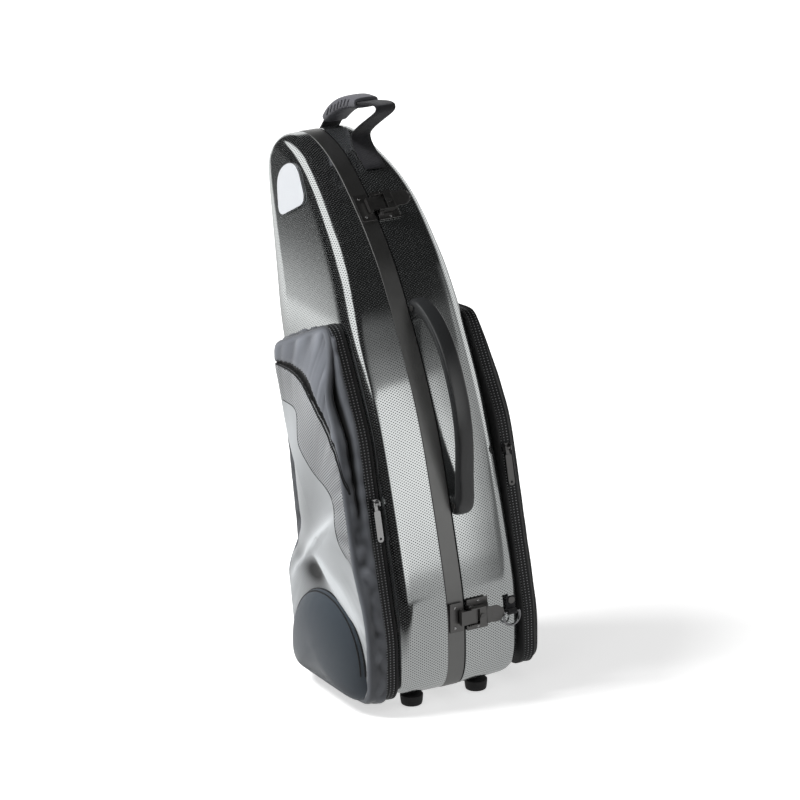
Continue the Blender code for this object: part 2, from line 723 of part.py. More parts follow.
def add_cradle(name, low, notch):
    high = low + CRADLE_THICKNESS
    lining = liner_skin + FOAM
    floor = BAND_WIDTH + min(base_depth(low), base_depth(high)) - lining - SEAT_GAP
    latch_x = on_latch_side(high)[0].x - lining - CRADLE_MARGIN
    hinge_x = hinge_side_x(low) + lining + CRADLE_MARGIN
    rim = BAND_WIDTH + CRADLE_RIM
    middle = (latch_x + hinge_x) * HALF_SHARE
    steps = 2 * CORNER_STEPS
    turns = [math.pi * step / steps for step in range(steps + 1)]
    arc = [(middle + notch * math.cos(turn), rim + notch * math.sin(turn)) for turn in turns]
    outline = [(hinge_x, rim), (hinge_x, floor), (latch_x, floor), (latch_x, rim)] + arc
    add_piece(name, prism(outline, low, high, "XY"), FOAM_CLOTH)


add_cradle("body_cradle", BODY_CRADLE_HEIGHT, BODY_CRADLE_NOTCH)
add_cradle("neck_cradle", CREST - NECK_CRADLE_DROP, NECK_CRADLE_NOTCH)


# Feet: rubber, screwed on through a recess

foot_top = FOOT_HEIGHT - SEAT_GAP
foot_profile = [(FOOT_TOP_RADIUS, foot_top), (FOOT_BOTTOM_RADIUS, FOOT_ROUNDING),
                (FOOT_BOTTOM_RADIUS - FOOT_ROUNDING, 0), (FOOT_RECESS_RADIUS, 0),
                (FOOT_RECESS_RADIUS, FOOT_RECESS_DEPTH)]
for half_name, foot_y in (("lid", LID_FOOT_Y), ("base", BASE_FOOT_Y)):
    for side_name, foot_inset in (("latch", FOOT_LATCH_INSET), ("hinge", BODY_FOOT_WIDTH - FOOT_HINGE_EDGE)):
        add_piece(f"{half_name}_foot_{side_name}", turned(foot_profile), RUBBER,
                  location=(-foot_inset, foot_y, 0))


# Hinges: rolled leaves round a pin, in a frame whose x points into the case and z up the hinge side

def hinge_leaf(reach_sign, middle_cut):
    """A leaf along y from the pin: the middle of its roll is cut away, or both ends are."""
    outline = [(across, reach_sign * along) for across, along in
               curl(HINGE_BORE_RADIUS, HINGE_KNUCKLE_RADIUS, HINGE_LEAF_WIDTH)]
    half = HINGE_LENGTH * HALF_SHARE
    knuckle = HINGE_KNUCKLE_LENGTH * HALF_SHARE
    clear = HINGE_KNUCKLE_RADIUS + GAP
    leaf = prism(outline, -half, half, "XY")
    ranges = [(-half - OVERRUN, -knuckle), (knuckle, half + OVERRUN)]
    if middle_cut:
        ranges = [(-knuckle - GAP, knuckle + GAP)]
    cutters = []
    for low, high in ranges:
        ends = sorted((-reach_sign * (clear + OVERRUN), reach_sign * clear))
        cutters.append(box((-clear - OVERRUN, ends[0], low), (clear + OVERRUN, ends[1], high)))
    return combined("leaf", leaf, cutters, "DIFFERENCE")


hinge_out = HINGE_KNUCKLE_RADIUS + GAP + BAND_PROUD
hinge_y = BAND_WIDTH + GAP * HALF_SHARE
for hinge_name, height in HINGE_HEIGHTS.items():
    place = (hinge_side_x(height) - hinge_out / math.cos(HINGE_LEAN), hinge_y, height)
    seat = add_empty(f"{hinge_name}_hinge_axis", place, turn_y=-HINGE_LEAN)
    add_piece(f"{hinge_name}_hinge_lid_leaf", hinge_leaf(-1, False), LATCH_METAL, seat)
    add_piece(f"{hinge_name}_hinge_base_leaf", hinge_leaf(1, True), LATCH_METAL, seat)
    pin_half = HINGE_LENGTH * HALF_SHARE
    add_piece(f"{hinge_name}_hinge_pin", cylinder(HINGE_PIN_RADIUS, -pin_half, pin_half), STEEL, seat)


# Draw latches, each in a frame on the latch side: x outward, z along the side

def keeper():
    plate = box((0, KEEPER_START, -KEEPER_HEIGHT * HALF_SHARE),
                (LATCH_SHEET, KEEPER_START + KEEPER_WIDTH, KEEPER_HEIGHT * HALF_SHARE))
    lug = box((LATCH_SHEET * HALF_SHARE, KEEPER_LUG_START, -KEEPER_LUG_HEIGHT * HALF_SHARE),
              (KEEPER_LUG_RISE, KEEPER_LUG_START + KEEPER_LUG_THICKNESS, KEEPER_LUG_HEIGHT * HALF_SHARE))
    return combined("keeper", plate, [lug], "UNION")


def latch_plate():
    plate = box((0, LATCH_PLATE_START, -LATCH_PLATE_HEIGHT * HALF_SHARE),
                (LATCH_SHEET, LATCH_PLATE_START + LATCH_PLATE_WIDTH, LATCH_PLATE_HEIGHT * HALF_SHARE))
    ears = []
    for low in (LATCH_EAR_INNER, -LATCH_EAR_INNER - LATCH_EAR_THICKNESS):
        ears.append(box((LATCH_SHEET * HALF_SHARE, LATCH_PLATE_START, low),
                        (LATCH_EAR_RISE, LATCH_PIVOT_Y + LATCH_EAR_REACH, low + LATCH_EAR_THICKNESS)))
    joined = combined("latch_plate", plate, ears, "UNION")
    reach = LATCH_EAR_INNER + LATCH_EAR_THICKNESS + OVERRUN
    bore = cylinder(LATCH_BORE_RADIUS, -reach, reach, (LATCH_PIVOT_OUT, LATCH_PIVOT_Y))
    return combined("latch_plate", joined, [bore], "DIFFERENCE")


def lever():
    """About its own pivot: a channel with two cheeks, a top and a raised thumb tab."""
    top_in = LEVER_TOP_OUT - LEVER_TOP_THICKNESS
    outline = [(-LEVER_FOOT, -LEVER_NOSE), (LEVER_TOP_OUT, -LEVER_NOSE), (LEVER_TOP_OUT, LEVER_LENGTH),
               (top_in, LEVER_LENGTH), (-LEVER_FOOT, LEVER_CHEEK_LENGTH)]
    channel = prism(outline, -LEVER_HALF_HEIGHT, LEVER_HALF_HEIGHT, "XY")
    inner = LEVER_HALF_HEIGHT - LEVER_CHEEK
    hollow = box((-LEVER_FOOT - OVERRUN, -LEVER_NOSE - OVERRUN, -inner),
                 (top_in, LEVER_LENGTH + OVERRUN, inner))
    mouth = box((-LEVER_FOOT - OVERRUN, -LEVER_NOSE - OVERRUN, -inner),
                (LEVER_TOP_OUT + OVERRUN, LEVER_TOP_START, inner))
    reach = LEVER_HALF_HEIGHT + OVERRUN
    bores = [cylinder(LATCH_BORE_RADIUS, -reach, reach),
             cylinder(LATCH_BORE_RADIUS, -reach, reach, (CLAW_PIVOT_OUT, CLAW_PIVOT_BACK))]
    body = combined("lever", channel, [hollow, mouth] + bores, "DIFFERENCE")
    tab_start = LEVER_LENGTH - LEVER_TOP_THICKNESS
    tab_end = LEVER_LENGTH + LEVER_TAB_LENGTH
    tab = prism([(top_in + LEVER_TAB_STEP, tab_start), (LEVER_TOP_OUT - LEVER_TAB_STEP, tab_start),
                 (LEVER_TOP_OUT + LEVER_TAB_RISE, tab_end), (top_in + LEVER_TAB_RISE, tab_end)],
                -LEVER_TAB_HALF_HEIGHT, LEVER_TAB_HALF_HEIGHT, "XY")
    return combined("lever", body, [tab], "UNION")


def claw():
    """About its own pivot on the lever: a strip with a hook at its far end and a pin across it."""
    half = CLAW_THICKNESS * HALF_SHARE
    outline = [(half, CLAW_TAIL), (-half, CLAW_TAIL), (-half, -CLAW_LENGTH + CLAW_HOOK_THICKNESS),
               (-CLAW_HOOK_DROP, -CLAW_LENGTH + CLAW_HOOK_THICKNESS), (-CLAW_HOOK_DROP, -CLAW_LENGTH),
               (half, -CLAW_LENGTH)]
    strip = prism(outline, -CLAW_HALF_HEIGHT, CLAW_HALF_HEIGHT, "XY")
    pin = cylinder(LATCH_PIN_RADIUS, -LEVER_HALF_HEIGHT, LEVER_HALF_HEIGHT)
    return combined("claw", strip, [pin], "UNION")


def lock():
    """About its own axis, along x: a low barrel with a key slot."""
    barrel = cylinder(LOCK_RADIUS, 0, LOCK_RISE, plane="YZ")
    slot = box((LOCK_RISE * HALF_SHARE, -LOCK_SLOT_LENGTH * HALF_SHARE, -LOCK_SLOT_WIDTH * HALF_SHARE),
               (LOCK_RISE + OVERRUN, LOCK_SLOT_LENGTH * HALF_SHARE, LOCK_SLOT_WIDTH * HALF_SHARE))
    return combined("lock", barrel, [slot], "DIFFERENCE")


for latch_name, height in LATCH_HEIGHTS.items():
    place, out, along = on_latch_side(height)
    seat = add_empty(f"{latch_name}_latch_seat", (place.x, 0, place.y), turn_y=math.atan2(along.x, along.y))
    seat_out = BAND_PROUD + SEAT_GAP
    add_piece(f"{latch_name}_latch_keeper", keeper(), LATCH_METAL, seat, (seat_out, 0, 0))
    add_piece(f"{latch_name}_latch_plate", latch_plate(), LATCH_METAL, seat, (seat_out, 0, 0))
    pivot = add_empty(f"{latch_name}_latch_lever_axis", (seat_out + LATCH_PIVOT_OUT, LATCH_PIVOT_Y, 0), seat)
    pin_half = LATCH_EAR_INNER + LATCH_EAR_THICKNESS
    add_piece(f"{latch_name}_latch_pin", cylinder(LATCH_PIN_RADIUS, -pin_half, pin_half), STEEL, pivot)
    add_piece(f"{latch_name}_latch_lever", lever(), LATCH_METAL, pivot)
    claw_axis = add_empty(f"{latch_name}_latch_claw_axis", (CLAW_PIVOT_OUT, CLAW_PIVOT_BACK, 0), pivot)
    add_piece(f"{latch_name}_latch_claw", claw(), LATCH_METAL, claw_axis)
    add_piece(f"{latch_name}_latch_lock", lock(), STEEL, pivot, (LEVER_TOP_OUT + GAP, LOCK_BACK, 0))


# Side handle: one moulded arch whose two ends stand on the base

def side_handle():
    rings = []
    for way, reach, turn, length in HANDLE_SHARES:
        height = HANDLE_LOW + (HANDLE_HIGH - HANDLE_LOW) * way
        place, out, along = on_latch_side(height)
        angle = math.radians(turn)
        rise = max(reach * HANDLE_REACH, SEAT_GAP)
        centre = place + out * rise
        across = out * math.sin(angle) - along * math.cos(angle)
        half_thick = HANDLE_END_LENGTH * length * HALF_SHARE
        half_wide = HANDLE_WIDTH * HALF_SHARE
        middle_y = HANDLE_START_Y + half_wide
        ring = []
        for step in range(HANDLE_SIDES):
            phase = math.tau * (step + HALF_SHARE) / HANDLE_SIDES
            wide = math.copysign(abs(math.cos(phase)) ** HALF_SHARE, math.cos(phase)) * half_wide
            thick = math.copysign(abs(math.sin(phase)) ** HALF_SHARE, math.sin(phase)) * half_thick
            ring.append(Vector((centre.x + across.x * thick, middle_y + wide, centre.y + across.y * thick)))
        rings.append(ring)
    return loft(rings)


add_piece("side_handle", side_handle(), MOULDED)
for end_name, way in (("lower", HANDLE_SHARES[0][0]), ("upper", HANDLE_SHARES[-1][0])):
    place, out, along = on_latch_side(HANDLE_LOW + (HANDLE_HIGH - HANDLE_LOW) * way)
    seat = add_empty(f"side_handle_{end_name}_seat", (place.x, HANDLE_START_Y, place.y),
                     turn_y=math.atan2(along.x, along.y))
    add_piece(f"side_handle_screw_{end_name}",
              cylinder(HANDLE_SCREW_RADIUS, -HANDLE_SCREW_HEAD - GAP, -GAP, (HANDLE_SCREW_SIDE, 0), "XZ"),
              STEEL, seat)


# Top handle: webbing that runs through a moulded grip

def on_base(index, y, lift):
    """A point at y over the base's rounded side, lift above it, at a point of the outline."""
    place, out = CASE[index], facings(CASE)[index]
    radius = base_edge(place.y)
    moved, angle = place, 0.0
    for repeat in range(SETTLE_STEPS):
        depth = base_depth(moved.y)
        drop = min(radius, depth * EDGE_DROP_SHARE)
        angle = math.asin(min(1.0, max(0.0, y - BAND_WIDTH - depth + drop) / drop))
        moved = place - out * radius * (1 - math.cos(angle))
    lifted = moved + out * lift * math.cos(angle)
    return Vector((lifted.x, y + lift * math.sin(angle), lifted.y))


def tail_rings(first, last):
    """Sections of a tail that lies on the base: its underside and then its upper side."""
    rings = []
    for index in range(first, last + 1):
        ring = []
        for lift, columns in ((SEAT_GAP, STRAP_COLUMNS), (SEAT_GAP + STRAP_THICKNESS, STRAP_COLUMNS[::-1])):
            ring += [on_base(index, STRAP_Y + side * STRAP_WIDTH * HALF_SHARE, lift) for side in columns]
        rings.append(ring)
    return rings


def strap_section(index):
    half_thick = STRAP_THICKNESS * HALF_SHARE
    section = []
    for rise, columns in ((-half_thick, STRAP_COLUMNS), (half_thick, STRAP_COLUMNS[::-1])):
        section += [(STRAP_Y + STRAP_WIDTH * HALF_SHARE * side, rise) for side in columns]
    return section


def middle_of(ring):
    """The middle of a section, in x and z."""
    return (sum(ring, Vector((0, 0, 0))) / len(ring)).xz


def grip_section(width, thickness):
    """A section with square-round corners."""
    section = []
    for step in range(len(SQUARE) * GRIP_QUARTER):
        phase = math.tau * (step + HALF_SHARE) / (len(SQUARE) * GRIP_QUARTER)
        wide = math.copysign(abs(math.cos(phase)) ** HALF_SHARE, math.cos(phase))
        thick = math.copysign(abs(math.sin(phase)) ** HALF_SHARE, math.sin(phase))
        section.append((STRAP_Y + wide * width * HALF_SHARE, thick * thickness * HALF_SHARE))
    return section


near_rings = tail_rings(*NEAR_TAIL)
far_rings = tail_rings(*FAR_TAIL)
near_end, far_end = middle_of(near_rings[-1]), middle_of(far_rings[0])
bend_x = near_end.x + STRAP_BEND_OVER
strap_back = bend_x - far_end.x + STRAP_OVERHANG
free_run = [Vector((bend_x - back * strap_back, near_end.y - STRAP_SINK + up * STRAP_RISE))
            for back, up in STRAP_SHARES]
strap_curve = spline([near_end] + free_run + [far_end], STRAP_STEPS)
strap_rings = near_rings + sweep(strap_curve, strap_section)[1:-1] + far_rings
add_piece("top_strap", loft(strap_rings), WEBBING)
grip_curve = strap_curve[(GRIP_FIRST + 1) * STRAP_STEPS:(GRIP_LAST + 1) * STRAP_STEPS + 1]
bore_wide = STRAP_WIDTH + GRIP_BORE_CLEARANCE
bore_thick = STRAP_THICKNESS + GRIP_BORE_CLEARANCE


def grip_outer(index):
    share = index / (len(grip_curve) - 1)
    return grip_section(GRIP_WIDTH, GRIP_THICKNESS * read_table(GRIP_SHARES, share))


def grip_inner(index):
    ring = []
    for corner, after in zip(SQUARE, SQUARE[1:] + SQUARE[:1]):
        for step in range(GRIP_QUARTER):
            point = Vector(corner).lerp(Vector(after), step / GRIP_QUARTER)
            ring.append((STRAP_Y + point.x * bore_wide * HALF_SHARE, point.y * bore_thick * HALF_SHARE))
    return ring


grip_rings = sweep(grip_curve, grip_outer) + sweep(grip_curve, grip_inner)[::-1]
add_piece("top_grip", loft(grip_rings, closed=True), GRIP_RUBBER)


# D-rings: a rolled tab on each side of the base, a rivet through it and the hanging ring

def dring_set(side_name, place, turn_y):
    """In a frame whose x points out of the case: the roll's axis is along y."""
    out = DRING_ROLL_RADIUS + SEAT_GAP
    seat = add_empty(f"{side_name}_dring_seat", place, turn_y=turn_y)
    axis = add_empty(f"{side_name}_dring_axis", (out, 0, 0), seat)
    rolled = curl(DRING_BAR_BORE, DRING_ROLL_RADIUS, DRING_TAB_LENGTH)
    outline = [(-across, along) for across, along in rolled]
    half = DRING_TAB_WIDTH * HALF_SHARE
    add_piece(f"{side_name}_dring_tab", prism(outline, -half, half, "XZ"), WEBBING, axis)
    rivet_low = -DRING_BAR_BORE + GAP
    rivet = cylinder(DRING_RIVET_RADIUS, rivet_low, rivet_low + DRING_RIVET_HEAD,
                     (0, DRING_TAB_LENGTH - DRING_RIVET_RADIUS - GAP), "YZ")
    add_piece(f"{side_name}_dring_rivet", rivet, LATCH_METAL, axis)
    hang = add_empty(f"{side_name}_dring_hang", (0, 0, 0), axis, turn_y=-turn_y)
    wide = DRING_HALF_WIDTH
    corners = [(-wide, 0), (-wide, -DRING_DROP), (wide, -DRING_DROP), (wide, 0)]
    low_radius = wide * DRING_ROUNDING_SHARE
    loop = rounded(corners, [DRING_BAR_ROUNDING, low_radius, low_radius, DRING_BAR_ROUNDING])
    add_piece(f"{side_name}_d_ring", wire_loop(loop, DRING_WIRE_RADIUS), STEEL, hang)


place, out, along = on_latch_side(DRING_HEIGHT)
dring_set("latch_side", (place.x, DRING_Y, place.y), 0.0)
dring_set("hinge_side", (hinge_side_x(DRING_HEIGHT), DRING_Y, DRING_HEIGHT), math.pi - HINGE_LEAN)


# Name plate on the sloping upper end of the lid, left bare

slope = LID_DEPTH * (LID_DEPTH_SHARES[1][1] - LID_DEPTH_SHARES[2][1]) / (
    BODY_HEIGHT * (LID_DEPTH_SHARES[2][0] - LID_DEPTH_SHARES[1][0]))
half = NAME_PLATE_WIDTH * HALF_SHARE
high_half = half * PLATE_TOP_SHARE
arch = rounded([(half, 0), (high_half, NAME_PLATE_HEIGHT), (-high_half, NAME_PLATE_HEIGHT), (-half, 0)],
               [NAME_PLATE_LOW_ROUNDING, NAME_PLATE_HIGH_ROUNDING, NAME_PLATE_HIGH_ROUNDING,
                NAME_PLATE_LOW_ROUNDING], 2 * CORNER_STEPS)
plate_place = (NAME_PLATE_EDGE - BODY_WIDTH, -lid_depth(NAME_PLATE_Z) - SEAT_GAP, NAME_PLATE_Z)
plate_mesh = prism(arch, -NAME_PLATE_THICKNESS, 0, "XZ", NAME_PLATE_BEVEL)
name_plate = add_piece("name_plate", plate_mesh, PLATE_SILVER, location=plate_place)
name_plate.rotation_mode = "ZYX"
name_plate.rotation_euler = (-math.atan(slope), -NAME_PLATE_TURN, 0)


# Pockets: a panel on the case, a zip round it and a hollow padded cover

def pocket_outline(shares, low, drop):
    height = CREST - drop - low
    corners = [(-POCKET_LATCH_INSET - inward * POCKET_WIDTH, low + up * height) for inward, up in shares]
    radii = [POCKET_LOW_ROUNDING, POCKET_SIDE_ROUNDING, POCKET_SIDE_ROUNDING, POCKET_TOP_ROUNDING,
             POCKET_TOP_ROUNDING, POCKET_LOW_ROUNDING]
    return rounded(corners, radii), corners


def lid_face(height):
    return -lid_depth(min(height, FOOT_HEIGHT + LID_DEPTH_SHARES[1][0] * BODY_HEIGHT))


def base_face(height):
    low, high = BASE_DEPTH_SHARES[0], BASE_DEPTH_SHARES[1]
    share = (height_share(height) - low[0]) / (high[0] - low[0])
    return BAND_WIDTH + BASE_DEPTH * (low[1] + (high[1] - low[1]) * share)


def stacked(outline, face_at, side, sections):
    """Rings that follow a pocket's outline, from inset and rise off the case's face."""
    return [[Vector((point.x, face_at(point.y) + side * rise, point.y))
             for point in inset(outline, distance)] for distance, rise in sections]


def cover_rings(outline, face_at, side, rim, gusset, crown, skin):
    middle = sum(outline, Vector((0, 0))) / len(outline)
    outline = subdivided(outline, COVER_LONGEST_SIDE)
    pocket_low = min(point.y for point in outline)
    pocket_height = max(point.y for point in outline) - pocket_low
    edge = COVER_EDGE
    top = rim + gusset - skin
    sections = [(skin, rim), (skin, top - edge + skin)]
    for step in range(1, COVER_EDGE_STEPS + 1):
        angle = FLAT_ANGLE * step / COVER_EDGE_STEPS
        sections.append((skin + (edge - skin) * (1 - math.cos(angle)),
                         top - (edge - skin) * (1 - math.sin(angle))))
    rings = stacked(outline, face_at, side, sections)
    rim_ring = inset(outline, edge)
    for share in COVER_SHARES:
        ring = []
        for point in rim_ring:
            moved = middle + (point - middle) * share
            up = (moved.y - pocket_low) / pocket_height
            bulge = crown * read_table(CROWN_SHARES, up) * (1 - share * share)
            ring.append(Vector((moved.x, face_at(moved.y) + side * (top + bulge), moved.y)))
        rings.append(ring)
    return rings


def add_pocket(prefix, outline, corners, face_at, side, gusset, crown):
    panel_top = SEAT_GAP + PANEL_THICKNESS
    panel = loft(stacked(outline, face_at, side, [(0.0, SEAT_GAP), (0.0, panel_top)]))
    add_piece(f"{prefix}_pocket_panel", panel, ZIP_NYLON)
    zip_low = panel_top + GAP
    zip_high = zip_low + ZIP_WIDTH
    ring = loft(stacked(outline, face_at, side, [(0.0, zip_low), (0.0, zip_high), (ZIP_THICKNESS, zip_high),
                                                 (ZIP_THICKNESS, zip_low)]), closed=True)
    add_piece(f"{prefix}_pocket_zip", ring, ZIP_NYLON)
    rim = zip_high + GAP
    outer = cover_rings(outline, face_at, side, rim, gusset, crown, 0.0)
    inner = cover_rings(outline, face_at, side, rim, gusset, crown, COVER_WALL)
    add_piece(f"{prefix}_pocket_cover", loft(inner[::-1] + outer, laddered=True), NYLON)
    add_pocket_axis(prefix, corners, face_at, side, panel_top)
    add_slider(prefix, corners, face_at, side, SLIDER_SHARES[prefix], (zip_low + zip_high) * HALF_SHARE)
    return rim + gusset


def add_pocket_axis(prefix, corners, face_at, side, panel_top):
    """A guide at each end of the straight edge that the cover turns about."""
    top, low = Vector(corners[4]), Vector(corners[5])
    along = (low - top).normalized()
    out = Vector((along.y, -along.x)) * GAP
    for label, point in (("high", top + out), ("low", low + out)):
        rise = panel_top + GAP * HALF_SHARE
        add_empty(f"{prefix}_pocket_axis_{label}", (point.x, face_at(point.y) + side * rise, point.y))


def slider_mesh():
    """In a frame on the zip: x outward, z up the zip. A base, two cheeks and a bar along y."""
    half_long = SLIDER_LENGTH * HALF_SHARE
    half_wide = SLIDER_WIDTH * HALF_SHARE
    half_slot = SLIDER_SLOT * HALF_SHARE
    hump = [(GAP, -half_long), (SLIDER_BASE, -half_long), (SLIDER_RISE, -half_long * HALF_SHARE),
            (SLIDER_RISE, half_long * HALF_SHARE), (SLIDER_BASE, half_long), (GAP, half_long)]
    body = prism(hump, -half_wide, half_wide)
    slot = box((SLIDER_BASE, -half_slot, -half_long - OVERRUN),
               (SLIDER_RISE + OVERRUN, half_slot, half_long + OVERRUN))
    open_body = combined("slider", body, [slot], "DIFFERENCE")
    overlap = (half_wide - half_slot) * HALF_SHARE
    bar = cylinder(SLIDER_BAR_RADIUS, -half_slot - overlap, half_slot + overlap, (SLIDER_BAR_OUT, 0), "XZ",
                   steps=WIRE_SIDES)
    return combined("slider", open_body, [bar], "UNION")


def pull_mesh():
    """About the slider's bar: a rolled neck round it, then a wider tab with a hole, hanging along -z."""
    outline = [(-across, -along) for across, along in curl(PULL_BORE, PULL_CURL_RADIUS, PULL_NECK_LENGTH)]
    neck = prism(outline, -PULL_NECK_WIDTH * HALF_SHARE, PULL_NECK_WIDTH * HALF_SHARE)
    half = PULL_TAB_WIDTH * HALF_SHARE
    tab_top = -PULL_NECK_LENGTH + PULL_TAB_THICKNESS
    tab_low = tab_top - PULL_TAB_LENGTH + PULL_NECK_LENGTH
    round_low = half * PULL_ROUNDING_SHARE
    outline = rounded([(-half, tab_top), (-half, tab_low), (half, tab_low), (half, tab_top)],
                      [half * HALF_SHARE, round_low, round_low, half * HALF_SHARE], CORNER_STEPS)
    tab_in = -PULL_CURL_RADIUS + GAP
    tab = prism(outline, tab_in, tab_in + PULL_TAB_THICKNESS, "YZ")
    hole_z = tab_low + PULL_TAB_WIDTH * HALF_SHARE
    tab_out = tab_in + PULL_TAB_THICKNESS
    hole = cylinder(PULL_HOLE_RADIUS, tab_in - OVERRUN, tab_out + OVERRUN, (0, hole_z), "YZ",
                    steps=WIRE_SIDES)
    joined = combined("pull", neck, [tab], "UNION")
    return combined("pull", joined, [hole], "DIFFERENCE")


def add_slider(prefix, corners, face_at, side, way, middle_rise):
    low, high = Vector(corners[1]), Vector(corners[2])
    place = low.lerp(high, way)
    along = (high - low).normalized()
    seat = add_empty(f"{prefix}_slider_seat", (place.x, face_at(place.y) + side * middle_rise, place.y),
                     turn_y=math.atan2(along.x, along.y))
    add_piece(f"{prefix}_zip_slider", slider_mesh(), LATCH_METAL, seat)
    bar = add_empty(f"{prefix}_pull_axis", (SLIDER_BAR_OUT, 0, 0), seat)
    add_piece(f"{prefix}_zip_pull", pull_mesh(), LATCH_METAL, bar)


front_outline = pocket_outline(POCKET_SHARES, FRONT_POCKET_LOW, FRONT_POCKET_DROP)
front_top = add_pocket("front", *front_outline, lid_face, -1, FRONT_GUSSET, FRONT_CROWN)
back_outline = pocket_outline(BACK_POCKET_SHARES, BACK_POCKET_LOW, BACK_POCKET_DROP)
add_pocket("back", *back_outline, base_face, 1, BACK_GUSSET, BACK_CROWN)


# Padded dome pocket, low on the front of the cover

def dome_pocket():
    half = DOME_WIDTH * HALF_SHARE
    low = DOME_ROUNDING
    high = DOME_HEIGHT * DOME_ROUNDING_SHARE
    outline = rounded([(DOME_X + half, DOME_LOW), (DOME_X + half, DOME_LOW + DOME_HEIGHT),
                       (DOME_X - half, DOME_LOW + DOME_HEIGHT), (DOME_X - half, DOME_LOW)],
                      [low, high, high, low], DOME_CORNER_STEPS)
    middle = sum(outline, Vector((0, 0))) / len(outline)
    face = -(LID_DEPTH + front_top) - SEAT_GAP
    rings = [[Vector((point.x, face, point.y)) for point in outline]]
    for share, rise in DOME_SHARES:
        rings.append([Vector((middle.x + (point.x - middle.x) * share, face - DOME_DEPTH * rise,
                              middle.y + (point.y - middle.y) * share)) for point in outline])
    return loft(rings)


add_piece("dome_pocket", dome_pocket(), DOME_CLOTH)


# Shoulder straps stowed flat on the back pocket's panel

for side_name, way in (("latch", HALF_SHARE), ("hinge", -HALF_SHARE)):
    strap_x = SHOULDER_STRAP_X + SHOULDER_STRAP_SPACING * way
    half = SHOULDER_STRAP_WIDTH * HALF_SHARE
    high = CREST - BACK_POCKET_DROP - SHOULDER_STRAP_MARGIN
    lean = (high - SHOULDER_STRAP_LOW) * math.tan(HINGE_LEAN) * HALF_SHARE
    corners = [(strap_x + half, SHOULDER_STRAP_LOW), (strap_x + half - lean, high),
               (strap_x - half - lean, high), (strap_x - half, SHOULDER_STRAP_LOW)]
    outline = rounded(corners, [half * HALF_SHARE] * len(corners))
    low_rise = SEAT_GAP + PANEL_THICKNESS + SEAT_GAP
    rings = stacked(outline, base_face, 1, [
        (SHOULDER_STRAP_BEVEL, low_rise), (0.0, low_rise + SHOULDER_STRAP_BEVEL),
        (0.0, low_rise + SHOULDER_STRAP_THICKNESS - SHOULDER_STRAP_BEVEL),
        (SHOULDER_STRAP_BEVEL, low_rise + SHOULDER_STRAP_THICKNESS)])
    add_piece(f"stowed_shoulder_strap_{side_name}", loft(rings), WEBBING)


# The origin goes to the middle of the case's box, on the floor

bpy.context.view_layer.update()
corners = [piece.matrix_world @ vertex.co for piece in bpy.data.objects if piece.type == "MESH"
           for vertex in piece.data.vertices]
across = [point.x for point in corners]
deep = [point.y for point in corners]
case_origin.location = (-HALF_SHARE * (min(across) + max(across)), -HALF_SHARE * (min(deep) + max(deep)), 0)
bpy.context.view_layer.update()
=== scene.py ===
"""Looks of a shaped hard case for an alto saxophone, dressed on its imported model.

x is out of the latch side, y out of the back, z up, in metres. The lid with the front pocket faces -y.
"""
import json
import math

import bpy
import numpy
from mathutils import Matrix, Vector, geometry, noise
from mathutils.bvhtree import BVHTree


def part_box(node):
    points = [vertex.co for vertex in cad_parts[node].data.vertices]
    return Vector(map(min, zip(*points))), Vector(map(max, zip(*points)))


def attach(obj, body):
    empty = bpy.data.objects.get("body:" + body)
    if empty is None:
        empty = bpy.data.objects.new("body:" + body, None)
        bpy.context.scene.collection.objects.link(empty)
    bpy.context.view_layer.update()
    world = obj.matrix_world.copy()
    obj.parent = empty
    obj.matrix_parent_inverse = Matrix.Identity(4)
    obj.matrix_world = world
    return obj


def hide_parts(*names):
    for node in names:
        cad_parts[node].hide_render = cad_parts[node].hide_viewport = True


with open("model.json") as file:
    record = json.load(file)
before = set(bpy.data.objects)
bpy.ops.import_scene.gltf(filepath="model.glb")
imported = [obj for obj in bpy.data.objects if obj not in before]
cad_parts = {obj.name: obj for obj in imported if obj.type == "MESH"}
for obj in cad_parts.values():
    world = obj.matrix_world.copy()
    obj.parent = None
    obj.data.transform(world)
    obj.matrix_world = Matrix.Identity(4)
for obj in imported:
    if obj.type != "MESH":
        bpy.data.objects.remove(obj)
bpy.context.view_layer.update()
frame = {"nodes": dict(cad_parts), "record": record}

nodes = frame["nodes"]


# Shells
# The two halves are vacuum formed from plastic sheet with a mirror film under a clear skin. The film is
# printed with staggered rows of small grey dots, so it is black with pale dots under a dark ceiling and
# silver with dark dots beside a pale floor.

GAP = 0.0003
WALL = 0.0035
BAND_PROUD = 0.0005               # how far the valance stands out from the shells
COLUMNS = 288                     # of each surface round the case
WALL_ROWS = 5
EDGE_ROWS = 14
FACE_ROWS = 12
SHELL_ROWS = WALL_ROWS + EDGE_ROWS + FACE_ROWS
SPINE_STEPS = 48
EASING_PASSES = 6
MERGE = 0.00002
QUARTER_TURN = math.pi / 2
SHARP = 40                        # edges that turn by more degrees than this stay edges

band_low, band_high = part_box("lid_valance")
UNDERSIDE = band_low.z + BAND_PROUD
BODY_HEIGHT = band_high.z - BAND_PROUD - UNDERSIDE
LID_SPLIT = band_low.y - GAP
BASE_SPLIT = band_high.y
LATCH_X = band_high.x - BAND_PROUD
LID_DEPTH = LID_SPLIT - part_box("lid_shell")[0].y
BASE_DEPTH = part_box("base_shell")[1].y - BASE_SPLIT
LID_EDGE_RADIUS = 0.018
BASE_EDGE_RADIUS = 0.030
LID_HINGE_EDGE = 0.070            # width of the long rounding on the lid's hinge side
EDGE_DROP_SHARE = 0.9
BARREL = 0.42                     # the walls curve in a little away from the split, in 1 / m
SPINE = (Vector((LATCH_X - 0.1155, 0.1285)), Vector((LATCH_X - 0.3056, 0.5576)))

